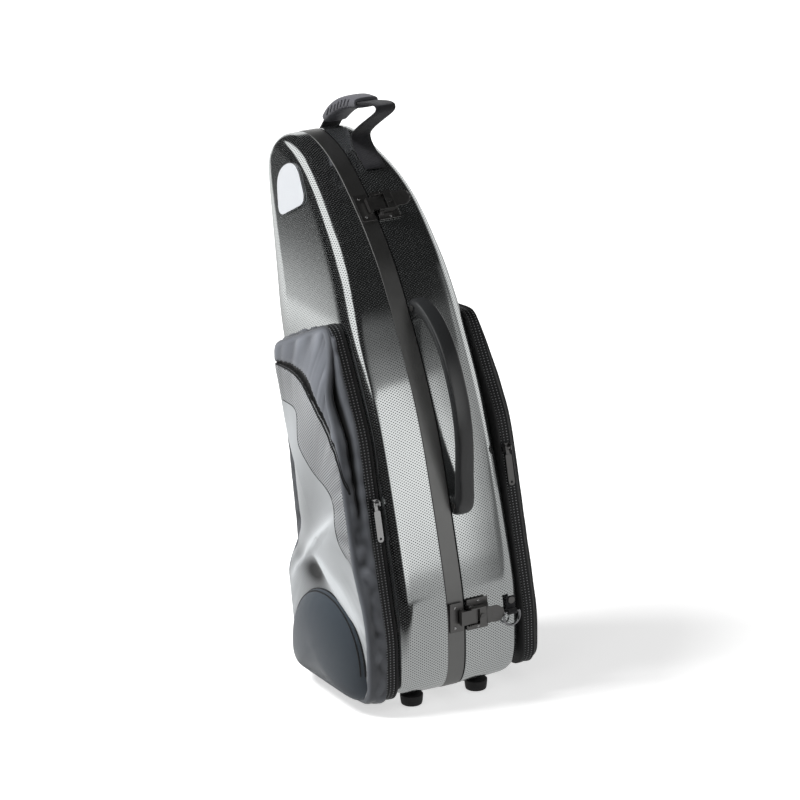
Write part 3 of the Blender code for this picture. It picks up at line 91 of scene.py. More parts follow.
# Depth and rounding of each half up the case: height shares with shares of the size
LID_DEPTH_SHARES = ((0.0, 1.0), (0.668, 1.0), (0.990, 0.54), (1.0, 0.53))
BASE_DEPTH_SHARES = ((0.0, 1.0), (0.728, 0.92), (0.910, 0.81), (0.990, 0.55), (1.0, 0.54))
BASE_EDGE_SHARES = ((0.0, 1.0), (0.72, 0.92), (0.91, 0.66), (1.0, 0.60))
LID_EDGE_SHARES = ((0.0, 1.0), (1.0, 1.0))
HINGE_EDGE_SHARES = ((0.0, 0.46), (0.12, 0.50), (0.33, 1.0), (0.68, 0.93), (0.80, 0.64), (0.91, 0.40),
                     (1.0, 0.27))
EASE_SHARES = (-0.03, -0.015, 0.0, 0.015, 0.03)

# Of the lid and the base: where it starts, its depth and its rounding, each with the shares it changes by
HALVES = {
    -1: (LID_SPLIT, LID_DEPTH, LID_DEPTH_SHARES, LID_EDGE_RADIUS, LID_EDGE_SHARES),
    1: (BASE_SPLIT, BASE_DEPTH, BASE_DEPTH_SHARES, BASE_EDGE_RADIUS, BASE_EDGE_SHARES),
}


def read_table(table, share):
    """Reading of a table of pairs, with its kinks eased."""
    total = 0.0
    for shift in EASE_SHARES:
        at = min(max(share + shift, table[0][0]), table[-1][0])
        for (low, low_value), (high, high_value) in zip(table, table[1:]):
            if at <= high:
                total += low_value + (high_value - low_value) * (at - low) / (high - low)
                break
    return total / len(EASE_SHARES)


def resampled(points, count):
    """Evenly spaced points along an open line."""
    lengths = [0.0]
    for start, end in zip(points, points[1:]):
        lengths.append(lengths[-1] + (end - start).length)
    line, step = [], 0
    for index in range(count):
        wanted = lengths[-1] * index / (count - 1)
        while step < len(points) - 2 and lengths[step + 1] < wanted:
            step += 1
        share = (wanted - lengths[step]) / (lengths[step + 1] - lengths[step])
        line.append(points[step].lerp(points[step + 1], min(1.0, share)))
    return line


def outline_of(node, count):
    """The outline of a node in x and z, anticlockwise and evenly spaced, with its corners eased."""
    points = [vertex.co.xz for vertex in nodes[node].data.vertices]
    hull = [points[index] for index in geometry.convex_hull_2d(points)]
    if sum(a.x * b.y - b.x * a.y for a, b in zip(hull, hull[1:] + hull[:1])) < 0:
        hull.reverse()
    start = hull.index(min(hull, key=lambda point: point.y + abs(point.x - LATCH_X)))
    hull = hull[start:] + hull[:start]
    loop = resampled(hull + hull[:1], count + 1)[:-1]
    for repeat in range(EASING_PASSES):
        loop = [(loop[i - 1] + loop[i] * 2 + loop[(i + 1) % count]) / 4 for i in range(count)]
    return loop


def facings(loop):
    """Outward direction at each point of a closed outline."""
    directions = []
    for index in range(len(loop)):
        along = (loop[(index + 1) % len(loop)] - loop[index - 1]).normalized()
        directions.append(Vector((along.y, -along.x)))
    return directions


def length_of(loop):
    return sum((end - start).length for start, end in zip(loop, loop[1:] + loop[:1]))


case_loop = outline_of("lid_valance", COLUMNS)
case_facings = facings(case_loop)
case_loop = [point - out * BAND_PROUD for point, out in zip(case_loop, case_facings)]
CASE_LENGTH = length_of(case_loop)


def choose(piece):
    """Make a piece the only one selected."""
    bpy.ops.object.select_all(action="DESELECT")
    bpy.context.view_layer.objects.active = piece
    piece.select_set(True)


def edit(piece):
    """Edit mode on one piece, with all of it selected."""
    choose(piece)
    bpy.ops.object.mode_set(mode="EDIT")
    bpy.ops.mesh.select_all(action="SELECT")


def bent_sheet(name, columns, rows, place_at, flat_from=2.0):
    """A sheet bent to shape: place_at gives each point, its place on the cloth in metres, and any push.

    From the row share flat_from up, the film lies on x and z instead.
    """
    bpy.ops.object.select_all(action="DESELECT")
    bpy.ops.mesh.primitive_grid_add(x_subdivisions=columns, y_subdivisions=rows, size=2)
    piece = bpy.context.object
    piece.name = piece.data.name = name
    shares = [((vertex.co.x + 1) / 2, (vertex.co.y + 1) / 2) for vertex in piece.data.vertices]
    placed = [place_at(round(u * columns), round(v * rows)) for u, v in shares]
    film = piece.data.uv_layers.active.data
    for face in piece.data.polygons:
        flat = min(shares[index][1] for index in face.vertices) > flat_from - MERGE
        for corner in face.loop_indices:
            place = placed[piece.data.loops[corner].vertex_index]
            film[corner].uv = place[0].xz if flat else place[1]
    for vertex, place in zip(piece.data.vertices, placed):
        vertex.co = place[0]
    marks = {"row_share": [v for u, v in shares], "pushed": [sum(place[2:]) for place in placed]}
    for mark, values in marks.items():
        piece.data.attributes.new(mark, "FLOAT", "POINT").data.foreach_set("value", values)
    edit(piece)
    bpy.ops.mesh.remove_doubles(threshold=MERGE)
    bpy.ops.mesh.normals_make_consistent(inside=False)
    bpy.ops.object.mode_set(mode="OBJECT")
    piece.data.shade_smooth()
    return piece


def apply(piece, kind, **settings):
    """A modifier, set and applied."""
    modifier = piece.modifiers.new(kind.title(), kind)
    for setting, value in settings.items():
        setattr(modifier, setting, value)
    choose(piece)
    bpy.ops.object.modifier_apply(modifier=modifier.name)


def soften(piece, width, segments, degrees=SHARP):
    """Rounded edges, where a piece turns by more than an angle."""
    limit = math.radians(degrees)
    apply(piece, "BEVEL", width=width, segments=segments, limit_method="ANGLE", angle_limit=limit)


def smooth_below(piece, degrees=SHARP):
    """Smooth shading, except over edges that turn by more than an angle."""
    choose(piece)
    bpy.ops.object.shade_smooth_by_angle(angle=math.radians(degrees))


def half_surface(side, rim, skin):
    """place_at of one half of the case, from its rim to the line its face gathers on; skin is taken off."""
    split, full_depth, depth_shares, full_edge, edge_shares = HALVES[side]

    def depth_at(height):
        return full_depth * read_table(depth_shares, (height - UNDERSIDE) / BODY_HEIGHT) - skin

    def place_at(column, row):
        point, out = case_loop[column % COLUMNS], case_facings[column % COLUMNS]
        up = (point.y - UNDERSIDE) / BODY_HEIGHT
        angle = QUARTER_TURN * min(1.0, max(0.0, (row - WALL_ROWS) / EDGE_ROWS))
        hinge_share = min(1.0, max(0.0, -out.x) ** 2) if side < 0 else 0.0
        edge = full_edge * read_table(edge_shares, up)
        wide = LID_HINGE_EDGE * read_table(HINGE_EDGE_SHARES, up)
        width = edge + (wide - edge) * hinge_share - skin
        moved = point - out * (skin + width * (1 - math.cos(angle)))
        depth = depth_at(moved.y)
        drop = min(edge - skin, depth * EDGE_DROP_SHARE)
        drop += (depth * EDGE_DROP_SHARE - drop) * hinge_share
        y = split + side * (depth - drop * (1 - math.sin(angle)))
        across = depth - drop + angle * (width + drop) / 2
        moved = moved - out * BARREL * ((depth - drop) * min(1.0, row / WALL_ROWS)) ** 2
        if row < WALL_ROWS:
            share = row / WALL_ROWS
            y = rim + (y - rim) * share
            across *= share
        gathered = 1 - max(0, row - WALL_ROWS - EDGE_ROWS) / FACE_ROWS
        if gathered < 1:
            spine = SPINE[1] - SPINE[0]
            part = max(0.0, min(1.0, (moved - SPINE[0]).dot(spine) / spine.length_squared))
            if gathered == 0:
                part = round(part * SPINE_STEPS) / SPINE_STEPS
            middle = SPINE[0] + spine * part
            moved = middle + (moved - middle) * gathered
            y = split + side * depth_at(moved.y)
        return Vector((moved.x, y, moved.y)), (column / COLUMNS * CASE_LENGTH, across)
    return place_at


def linear(code):
    """A colour given as an sRGB hex code, in linear light."""
    values = [int(code[start:start + 2], 16) / 255 for start in (1, 3, 5)]
    return [value / 12.92 if value <= 0.04045 else ((value + 0.055) / 1.055) ** 2.4 for value in values] + [1]


def new_material(name):
    material = bpy.data.materials.new(name)
    material.use_nodes = True
    material.node_tree.nodes.clear()
    return material


SMOOTH = {"interpolation_type": "SMOOTHSTEP"}
COLOURS = {"data_type": "RGBA"}
ON_SHEET = {"uv_map": "UVMap"}


def add(tree, kind, settings=None, out=None, **inputs):
    """A node with its settings, and the output that is named or comes first; a second word is its operation.

    Each input is a value or the socket that feeds it; _ stands for a space, and i0 for the first socket.
    """
    kind, operation = (kind + " ").split(" ")[:2]
    node = tree.nodes.new("ShaderNode" + kind)
    if operation:
        node.operation = operation
    for setting, value in (settings or {}).items():
        setattr(node, setting, value)
    for name, value in inputs.items():
        numbered = name[0] == "i" and name[1:].isdigit()
        socket = node.inputs[int(name[1:]) if numbered else name.replace("_", " ")]
        if isinstance(value, bpy.types.NodeSocket):
            tree.links.new(value, socket)
        else:
            socket.default_value = value
    return node.outputs[out] if out else next((output for output in node.outputs if output.enabled), None)


def add_surface(material, **inputs):
    shader = add(material.node_tree, "BsdfPrincipled", **inputs)
    add(material.node_tree, "OutputMaterial", Surface=shader)


def wave(tree, vector, axis, pitch, shape="SINE"):
    """A wave along one axis of a vector, from -1 to 1."""
    along = add(tree, "SeparateXYZ", out=axis, Vector=vector)
    return add(tree, "Math " + shape, i0=add(tree, "Math MULTIPLY", i0=along, i1=math.tau / pitch))


def checks(tree, vector, columns, rows):
    """A chequered height from -1 to 1, with the distances over two of its columns and two of its rows."""
    return add(tree, "Math MULTIPLY", i0=wave(tree, vector, "X", columns), i1=wave(tree, vector, "Y", rows))


def dress(piece, material, slot, body, *replaced):
    """A finish and a body for a piece, and the nodes that it stands for; the slot is not used."""
    piece.data.materials.clear()
    piece.data.materials.append(material)
    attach(piece, body)
    if replaced:
        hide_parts(*replaced)


DOT_PITCH = 0.0034                # along a row of dots
DOT_ROWS = 0.0052                 # over two rows

# Mirror film under clear skin: sharp, bright reflections between flat grey printed dots
laminate = new_material("dotted_mirror_film")
tree = laminate.node_tree
dots = add(tree, "MapRange", SMOOTH, From_Min=0.38, From_Max=0.62,
           Value=checks(tree, add(tree, "UVMap", ON_SHEET), DOT_PITCH, DOT_ROWS))
cloudy = add(tree, "TexNoise", Vector=add(tree, "TexCoord", out="Object"), Scale=9.0, Detail=3.0)
film = add(tree, "Mix", COLOURS, Factor=cloudy, i6=linear("#D9DDDD"), i7=linear("#EDF0EF"))
add_surface(laminate, Base_Color=add(tree, "Mix", COLOURS, Factor=dots, i6=film, i7=linear("#282A2C")),
            Metallic=add(tree, "MapRange", Value=dots, To_Min=1.0, To_Max=0.0),
            Roughness=add(tree, "MapRange", Value=dots, To_Min=0.10, To_Max=0.42),
            Normal=add(tree, "Bump", Strength=0.12, Distance=0.0002, Height=dots))

FLAT_FROM = (WALL_ROWS + EDGE_ROWS) / SHELL_ROWS
base_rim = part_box("base_shell")[0].y
for shell_node, side, rim, body in (("lid_shell", -1, LID_SPLIT, "lid"),
                                    ("base_shell", 1, base_rim, "base_case")):
    shell = bent_sheet(shell_node + "_film", COLUMNS, SHELL_ROWS, half_surface(side, rim, 0.0), FLAT_FROM)
    apply(shell, "SOLIDIFY", thickness=WALL, offset=-1)
    smooth_below(shell)
    dress(shell, laminate, "laminate", body, shell_node)


# Valance and seal
# The lid's edge is held in a folded aluminium band with a dark satin finish, which closes against the base.
# A thin black rubber cord in the base's edge shows as a line between them.

BAND_WALL = 0.003
BAND_CHAMFER = 0.0007
BAND_SHARP = 25
SEAL_WALL = 0.0022
SEAL_INSET = 0.0006


def no_lift(height):
    return 0.0


def ring_round(loop, sections, follow=no_lift):
    """place_at of a closed band along a loop, from inset and y pairs; follow lifts it by its height."""
    outward, length = facings(loop), length_of(loop)

    def place_at(column, row):
        inset, y = sections[row % len(sections)]
        point = loop[column % len(loop)] - outward[column % len(loop)] * inset
        return Vector((point.x, y + follow(point.y), point.y)), (column / len(loop) * length, y)
    return place_at


def grained(name, colour, roughness, scale, detail, bump=0.0, depth=0.0002, stretch=None, **inputs):
    """A material of one colour with a fine grain, which may vary its roughness and raise its surface."""
    material = new_material(name)
    tree = material.node_tree
    place = add(tree, "TexCoord", out="Object")
    if stretch:
        place = add(tree, "Mapping", Vector=place, Scale=stretch)
    grain = add(tree, "TexNoise", Vector=place, Scale=scale, Detail=detail)
    if isinstance(roughness, tuple):
        roughness = add(tree, "MapRange", Value=grain, To_Min=roughness[0], To_Max=roughness[1])
    if bump:
        inputs["Normal"] = add(tree, "Bump", Strength=bump, Distance=depth, Height=grain)
    add_surface(material, Base_Color=linear(colour), Roughness=roughness, **inputs)
    return material


# Satin finish on metal: a grey that shows dark under the dark ceiling, with faint mottling
band_paint = grained("satin_brown_paint", "#8E8E8D", (0.30, 0.42), 60, 4, bump=0.08, Metallic=0.95)

# Moulded rubber: matt and nearly black
rubber = grained("black_moulded_rubber", "#19191A", 0.62, 900, 2, bump=0.15)

band_sections = [
    (BAND_CHAMFER - BAND_PROUD, band_low.y), (-BAND_PROUD, band_low.y + BAND_CHAMFER),
    (-BAND_PROUD, band_high.y - BAND_CHAMFER), (BAND_CHAMFER - BAND_PROUD, band_high.y),
    (BAND_WALL, band_high.y), (BAND_WALL, band_low.y)]
valance = bent_sheet("valance_band", COLUMNS, len(band_sections), ring_round(case_loop, band_sections))
smooth_below(valance, BAND_SHARP)
dress(valance, band_paint, "band", "lid", "lid_valance")

seal_low, seal_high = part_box("rim_seal")
seal_sections = [(SEAL_INSET, seal_low.y), (SEAL_INSET, seal_high.y),
                 (SEAL_INSET + SEAL_WALL, seal_high.y), (SEAL_INSET + SEAL_WALL, seal_low.y)]
seal = bent_sheet("seal_cord", COLUMNS, len(seal_sections), ring_round(case_loop, seal_sections))
dress(seal, rubber, "rubber", "base_case", "rim_seal")


# Liners and cradles
# Each half is lined with foam under dark plush. Two foam saddles in the base hold the instrument.

LINER_SKIN = WALL + 0.001
FOAM = 0.012
CRADLE_BEVEL = 0.004
CRADLE_SEGMENTS = 4
FLAT_WITHIN = math.radians(30)    # triangles that turn by less than this become one face
SQUARE_WITHIN = math.radians(70)


def merged_copy(node, name):
    """A copy of a node with its triangles joined into faces, free to be shaped."""
    piece = bpy.data.objects.new(name, nodes[node].data.copy())
    bpy.context.scene.collection.objects.link(piece)
    edit(piece)
    bpy.ops.mesh.remove_doubles(threshold=MERGE)
    bpy.ops.mesh.customdata_custom_splitnormals_clear()
    bpy.ops.mesh.tris_convert_to_quads(face_threshold=FLAT_WITHIN, shape_threshold=SQUARE_WITHIN)
    bpy.ops.object.mode_set(mode="OBJECT")
    piece.data.shade_smooth()
    return piece


# Plush: short dark pile, no gloss, pale only along its edges
plush = grained("dark_plush_lining", "#2A2A30", 0.95, 700, 5, bump=0.5, depth=0.0008,
                Sheen_Weight=0.5, Sheen_Roughness=0.4)

for liner_node, side, body in (("lid_liner", -1, "lid"), ("base_liner", 1, "base_case")):
    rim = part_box(liner_node)[1 if side < 0 else 0].y
    liner = bent_sheet(liner_node + "_foam", COLUMNS, SHELL_ROWS, half_surface(side, rim, LINER_SKIN))
    apply(liner, "SOLIDIFY", thickness=FOAM, offset=-1)
    dress(liner, plush, "lining", body, liner_node)

for cradle_node in ("body_cradle", "neck_cradle"):
    cradle = merged_copy(cradle_node, cradle_node + "_foam")
    soften(cradle, CRADLE_BEVEL, CRADLE_SEGMENTS)
    dress(cradle, plush, "lining", "base_case", cradle_node)


# Feet
# Four rubber bumpers, each moulded with a rounded lower edge and a well for its screw.

FOOT_SIDES = 40
FOOT_SHARP = 50
FOOT_SIDE = ((0, 1.0), (1.0, 1.0), (1.0, 0.8), (0.96, 0.35))   # shares of its radius and its height
FOOT_LIP = ((0.93, 0.0018), (0.90, 0.0006), (0.85, 0.0))       # shares of its radius, with heights
SCREW_WELL = ((0.0056, 0.0), (0.005, 0.0006), (0.005, 0.005), (0, 0.005))


def turned(name, axis, profile, sides):
    """A solid turned about an axis, given as a matrix, from radius and height pairs."""
    def place_at(column, row):
        radius, height = profile[row]
        angle = math.tau * column / sides
        point = axis @ Vector((radius * math.cos(angle), radius * math.sin(angle), height))
        return point, (radius * angle, height)
    return bent_sheet(name, sides, len(profile) - 1, place_at)


for foot_node, body in (("lid_foot_latch", "lid"), ("lid_foot_hinge", "lid"),
                        ("base_foot_latch", "base_case"), ("base_foot_hinge", "base_case")):
    low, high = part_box(foot_node)
    middle = (low + high) / 2
    top, radius = high.z, (high.x - low.x) / 2
    foot_profile = [(radius * wide, top * tall) for wide, tall in FOOT_SIDE]
    foot_profile += [(radius * wide, rise) for wide, rise in FOOT_LIP] + list(SCREW_WELL)
    axis = Matrix.Translation((middle.x, middle.y, 0))
    foot = turned(foot_node + "_rubber", axis, foot_profile, FOOT_SIDES)
    smooth_below(foot, FOOT_SHARP)
    dress(foot, rubber, "rubber", body, foot_node)


# Hinges, latches, screws and zip metal
# Pressed steel with a dark nickel plating; the nodes keep their shape and get softened edges. The pins and
# the latches' rivets are bright steel, and the lever's thumb end is a wide pressed tongue.

EDGE_SOFTENING = 0.00035

# Dark nickel on pressed steel: grey brown, satin, with fine scuffs
gunmetal = grained("dark_nickel_plate", "#7C7B7A", (0.26, 0.42), 240, 6, bump=0.06, Metallic=0.95)

# Bright steel of pins, latch rivets and the front zip's slider: pale grey, clean reflections
steel = grained("bright_steel", "#C4C4C4", (0.18, 0.30), 300, 3, Metallic=1.0)

# Dark chrome of the rings: grey metal with sharp highlights
black_chrome = grained("black_chrome", "#9C9C9F", (0.16, 0.28), 200, 3, Metallic=1.0)


def keep(node, material):
    """A node that keeps its shape: a finish and softened edges."""
    piece = nodes[node]
    piece.data.materials.clear()
    piece.data.materials.append(material)
    weld = piece.modifiers.new("Weld", "WELD")
    weld.merge_threshold = MERGE
    bevel = piece.modifiers.new("Bevel", "BEVEL")
    bevel.width = EDGE_SOFTENING
    bevel.segments = 2
    bevel.limit_method = "ANGLE"
    bevel.angle_limit = math.radians(SHARP)


for level in ("lower", "upper"):
    for part in ("hinge_lid_leaf", "hinge_base_leaf", "latch_keeper", "latch_plate", "latch_lever",
                 "latch_claw", "latch_lock"):
        keep(f"{level}_{part}", gunmetal)
    keep(f"{level}_hinge_pin", steel)
    keep(f"{level}_latch_pin", steel)
    keep(f"side_handle_screw_{level}", gunmetal)
for node in ("latch_side_dring_rivet", "hinge_side_dring_rivet", "back_zip_slider", "back_zip_pull"):
    keep(node, gunmetal)
for node in ("front_zip_slider", "front_zip_pull"):
    keep(node, steel)

joints = {joint["name"]: joint for joint in frame["record"]["behaviour"]["joints"]}


def latch_frame(latch_name):
    """The frame on a latch's lever pivot: x out of the case, y to the back, z up along the side."""
    joint = joints[f"{latch_name}_lever_pivot"]
    along = -Vector(joint["axis"])
    out = Vector((along.z, 0, -along.x))
    rotation = Matrix((out, (0, 1, 0), along)).transposed().to_4x4()
    return Matrix.Translation(joint["pos_m"]) @ rotation


PIVOT_OUT = 0.0055 + GAP          # the pivot above the plates' underside
SHEET = 0.0015
PLATE_TOP = SHEET + GAP - PIVOT_OUT
RIVET_RADIUS = 0.0019
RIVET_RISE = 0.0010
RIVET_SIDES = 20
RIVET_SHARES = ((0, 0), (1, 0), (0.96, 0.4), (0.75, 0.8), (0.4, 1), (0, 1))   # of radius and rise
RIVETS = {                        # the body they ride on, then y and z from the pivot
    "keeper": ("lid", (-0.0190, 0.0128), (-0.0190, -0.0128)),
    "plate": ("base_case", (0.0130, 0.0160), (0.0130, -0.0160)),
}
TONGUE_START = 0.0192
TONGUE_END = 0.0405
TONGUE_HALF = 0.0106
TONGUE_OUT = 0.0071
TONGUE_RISE = 0.0036
TONGUE_SHEET = 0.0010
TONGUE_COLUMNS = 24
TONGUE_ROWS = 20
TONGUE_CROWDING = 1.6             # its rows lie closer towards its round end
TONGUE_CURL = 1.5
TONGUE_WAIST = 0.06               # share of its width
TONGUE_CUP = 0.0006
TONGUE_BEVEL = 0.0003
TONGUE_SHARP = 50


def to_out(matrix, y, z, rise):
    """A turning axis out of the case, at a place in a latch's frame."""
    return matrix @ Matrix.Translation((rise, y, z)) @ Matrix.Rotation(QUARTER_TURN, 4, "Y")


def tongue_surface(matrix):
    """place_at of a thumb tongue: wide over the lever, a slight waist, then a round end that curls out."""
    def place_at(column, row):
        way = 1 - (1 - row / TONGUE_ROWS) ** TONGUE_CROWDING
        side = column / TONGUE_COLUMNS * 2 - 1
        y = TONGUE_START + (TONGUE_END - TONGUE_START) * way
        end = max(0.0, (y - TONGUE_END + TONGUE_HALF) / TONGUE_HALF)
        half = TONGUE_HALF * math.sqrt(max(0.0, 1 - end * end))
        z = half * (1 - TONGUE_WAIST * math.sin(math.pi * min(1.0, way * 2))) * side
        x = TONGUE_OUT + TONGUE_RISE * way ** TONGUE_CURL - TONGUE_CUP * (1 - side ** 2)
        return matrix @ Vector((x, y, z)), (y, z)
    return place_at


rivet_profile = [(RIVET_RADIUS * wide, RIVET_RISE * tall) for wide, tall in RIVET_SHARES]
for level in ("lower", "upper"):
    matrix = latch_frame(level)
    for kind, (body, *places) in RIVETS.items():
        for number, (y, z) in enumerate(places):
            rivet = turned(f"{level}_{kind}_rivet_{number + 1}", to_out(matrix, y, z, PLATE_TOP),
                           rivet_profile, RIVET_SIDES)
            dress(rivet, steel, "steel", body)
    tongue = bent_sheet(f"{level}_lever_tongue", TONGUE_COLUMNS, TONGUE_ROWS, tongue_surface(matrix))
    apply(tongue, "SOLIDIFY", thickness=TONGUE_SHEET, offset=0)
    soften(tongue, TONGUE_BEVEL, 2, TONGUE_SHARP)
    dress(tongue, gunmetal, "latch_metal", f"{level}_lever")


# Side handle
# One arch of black glass-filled nylon, moulded with a fine satin grain and screwed on at both ends.

CREASED = math.radians(60)        # edges that turn by more than this keep a crease

handle_nylon = grained("black_moulded_nylon", "#2B2C2D", 0.3, 1400, 2, bump=0.12, depth=0.0001,
                       Specular_IOR_Level=1.0)


def smoothed(node, name, levels, crease):
    """A smooth copy of a node: its sharp edges keep a crease."""
    piece = merged_copy(node, name)
    edit(piece)
    bpy.ops.mesh.select_all(action="DESELECT")
    bpy.ops.mesh.select_mode(type="EDGE")
    bpy.ops.mesh.edges_select_sharp(sharpness=CREASED)
    bpy.ops.transform.edge_crease(value=crease)
    bpy.ops.object.mode_set(mode="OBJECT")
    apply(piece, "SUBSURF", levels=levels, render_levels=levels)
    piece.data.shade_smooth()
    return piece


handle = smoothed("side_handle", "side_handle_arch", 2, 0.9)
dress(handle, handle_nylon, "moulded", "base_case", "side_handle")


# Top handle
# A strap of black polypropylene webbing, sewn to the case at each end, runs through a grip moulded of grey
# rubber with slanted slots along its sides.

WEB_RIB = 0.0016                  # real ribs are finer; drawn as coarse as they need to show
SLOT_COUNT = 7
SLOT_ENDS = 2                     # places left without a slot at each end of the grip
SLOT_WIDTH = 0.0026
SLOT_DEPTH = 0.0030
SLOT_LENGTH = 0.0130
SLOT_ROUNDING = SLOT_WIDTH * 0.4
SLOT_LEAN = math.radians(28)
SLOT_REACH = 0.012                # how near a slot the grip's own height is read
GRIP_SHARP = 35

# Webbing: lengthwise ribs, dull with a faint sheen
webbing = new_material("black_ribbed_webbing")
tree = webbing.node_tree
place = add(tree, "TexCoord", out="Object")
ribs = wave(tree, place, "Y", WEB_RIB)
fuzz = add(tree, "TexNoise", Vector=place, Scale=1200.0, Detail=3.0)
tone = add(tree, "Mix", COLOURS, i6=linear("#0E0E11"), i7=linear("#2B2B30"),
           Factor=add(tree, "MapRange", Value=ribs, From_Min=-1.0, From_Max=1.0))
add_surface(webbing, Base_Color=tone, Roughness=0.8, Sheen_Weight=0.15,
            Normal=add(tree, "Bump", Strength=0.6, Distance=0.0004,
                       Height=add(tree, "Math ADD", i0=ribs, i1=fuzz)))

strap = smoothed("top_strap", "top_strap_webbing", 2, 0.85)
dress(strap, webbing, "webbing", "base_case", "top_strap")

# Soft rubber of the grip: mid grey, matt
grip_rubber = grained("grey_moulded_rubber", "#5C5C61", 0.5, 700, 3, bump=0.2)

grip = smoothed("top_grip", "top_grip_rubber", 2, 0.6)
grip_low, grip_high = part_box("top_grip")
grip_points = [vertex.co for vertex in nodes["top_grip"].data.vertices]
left = min(grip_points, key=lambda point: point.x)
right = max(grip_points, key=lambda point: point.x)
grip_way = resampled([left.xz, right.xz], SLOT_COUNT + 2 * SLOT_ENDS)[SLOT_ENDS:-SLOT_ENDS]
cutters = []
for point in grip_way:
    column = [co.z for co in grip_points if abs(co.x - point.x) < SLOT_REACH]
    height = (min(column) + max(column)) / 2
    for y in (grip_low.y, grip_high.y):
        bpy.ops.object.select_all(action="DESELECT")
        bpy.ops.mesh.primitive_cube_add(size=1, location=(point.x, y, height), rotation=(0, SLOT_LEAN, 0),
                                        scale=(SLOT_WIDTH, SLOT_DEPTH, SLOT_LENGTH))
        cutter = bpy.context.object
        apply(cutter, "BEVEL", width=SLOT_ROUNDING, segments=3)
        cutters.append(cutter)
for cutter in cutters:
    apply(grip, "BOOLEAN", object=cutter, operation="DIFFERENCE", solver="EXACT")
    bpy.data.objects.remove(cutter)
smooth_below(grip, GRIP_SHARP)
dress(grip, grip_rubber, "grip_rubber", "base_case", "top_grip")


# D-rings
# Low on each side of the base a webbing tab is riveted on, folded round the straight bar of a chromed ring.

TAB_ROUNDING = 0.0004

for side_name in ("latch_side", "hinge_side"):
    ring = smoothed(f"{side_name}_d_ring", f"{side_name}_ring_wire", 1, 0.0)
    dress(ring, black_chrome, "steel", f"{side_name}_ring", f"{side_name}_d_ring")
    tab = merged_copy(f"{side_name}_dring_tab", f"{side_name}_ring_tab")
    soften(tab, TAB_ROUNDING, 2)
    dress(tab, webbing, "webbing", "base_case", f"{side_name}_dring_tab")


# Name plate
# A bare arch of bright anodised aluminium, stuck on the lid's sloping upper end, with a dark cord round its
# edge that is painted shadow.

PLATE_SHADOW_CORD = 0.0005
SHADOW_CORD_POINTS = 96
FLAT_ANGLE = math.radians(2)

# Clear anodised aluminium: silver white, faintly brushed
plate_metal = grained("clear_anodised_aluminium", "#DBDEE2", 0.34, 1.0, 2, bump=0.05, depth=0.0001,
                      stretch=(60.0, 400.0, 1500.0), Metallic=0.25)
keep("name_plate", plate_metal)


def tube(name, path, radius, facing, closed=False, sides=8):
    """A round cord along a path; facing is a direction that the path never runs along."""
    count = len(path)

    def place_at(column, row):
        at = row % count if closed else row
        ahead = path[(at + 1) % count] if closed or at < count - 1 else path[at]
        behind = path[at - 1] if closed or at else path[at]
        along = (ahead - behind).normalized()
        first = along.cross(facing).normalized()
        second = along.cross(first)
        angle = math.tau * column / sides
        shrink = MERGE if not closed and row in (0, count - 1) else 1.0
        reach = radius * shrink
        return (path[at] + first * math.cos(angle) * reach + second * math.sin(angle) * reach,
                (radius * angle, row * (path[1] - path[0]).length))
    return bent_sheet(name, sides, count if closed else count - 1, place_at)


def face_ring(piece):
    """The corners of a piece's largest flat face, in order."""
    edit(piece)
    bpy.ops.mesh.dissolve_limited(angle_limit=FLAT_ANGLE)
    bpy.ops.object.mode_set(mode="OBJECT")
    face = max(piece.data.polygons, key=lambda polygon: polygon.area)
    return [piece.data.vertices[index].co.copy() for index in face.vertices], face.normal.copy()


plate_copy = merged_copy("name_plate", "plate_copy")
plate_ring, plate_facing = face_ring(plate_copy)
bpy.data.objects.remove(plate_copy)
plate_path = resampled(plate_ring + plate_ring[:1], SHADOW_CORD_POINTS + 1)[:-1]
plate_middle = sum(plate_path, Vector()) / len(plate_path)
plate_path = [point + (point - plate_middle).normalized() * PLATE_SHADOW_CORD for point in plate_path]
# Painted shadow: a dark cord just outside the plate's edge, where the plate's edge throws its shadow on the
# shell
plate_shadow_cord = tube("name_plate_shadow_cord", plate_path, PLATE_SHADOW_CORD, plate_facing, closed=True)
dress(plate_shadow_cord, handle_nylon, "moulded", "lid")


# Front pocket
# A bag on the lid: a stiff back panel, a coil zip all round, and a padded cover. The cover's edge and upper
# front are shiny nylon, puckered by its seams; below a bound seam lie a grey mesh panel and a light grey one.

POCKET_COLUMNS = 320
COVER_EDGE = 0.004
COVER_WALL = 0.0025
PANEL_ROUNDING = 0.0008
GUSSET_ROWS = 16
COVER_EDGE_ROWS = 4
COVER_FACE_ROWS = 72
COVER_ROWS = GUSSET_ROWS + COVER_EDGE_ROWS + COVER_FACE_ROWS
FACE_FROM = (GUSSET_ROWS + COVER_EDGE_ROWS) / COVER_ROWS
FRONT_CROWN_SHARES = ((0.0, 0.0), (0.30, 0.0), (0.46, 0.40), (0.72, 0.45), (0.90, 0.40), (1.0, 0.20))
BACK_CROWN_SHARES = ((0.0, 0.0), (0.34, 0.0), (0.48, 1.0), (0.72, 0.95), (1.0, 0.40))
TAPE_PITCH = 0.0034
TAPE_ROW_SPACING = 0.0046
CORNER_CUT = 0.25
GUSSET_FALL = 0.25                # how fast a seam's mark falls off over the gusset


def rounded(points, passes=3):
    """A line with its corners cut until it runs smoothly."""
    line = [Vector(point) for point in points]
    for repeat in range(passes):
        cut = [line[0]]
        for start, end in zip(line, line[1:]):
            cut += [start.lerp(end, CORNER_CUT), start.lerp(end, 1 - CORNER_CUT)]
        line = cut + [line[-1]]
    return line


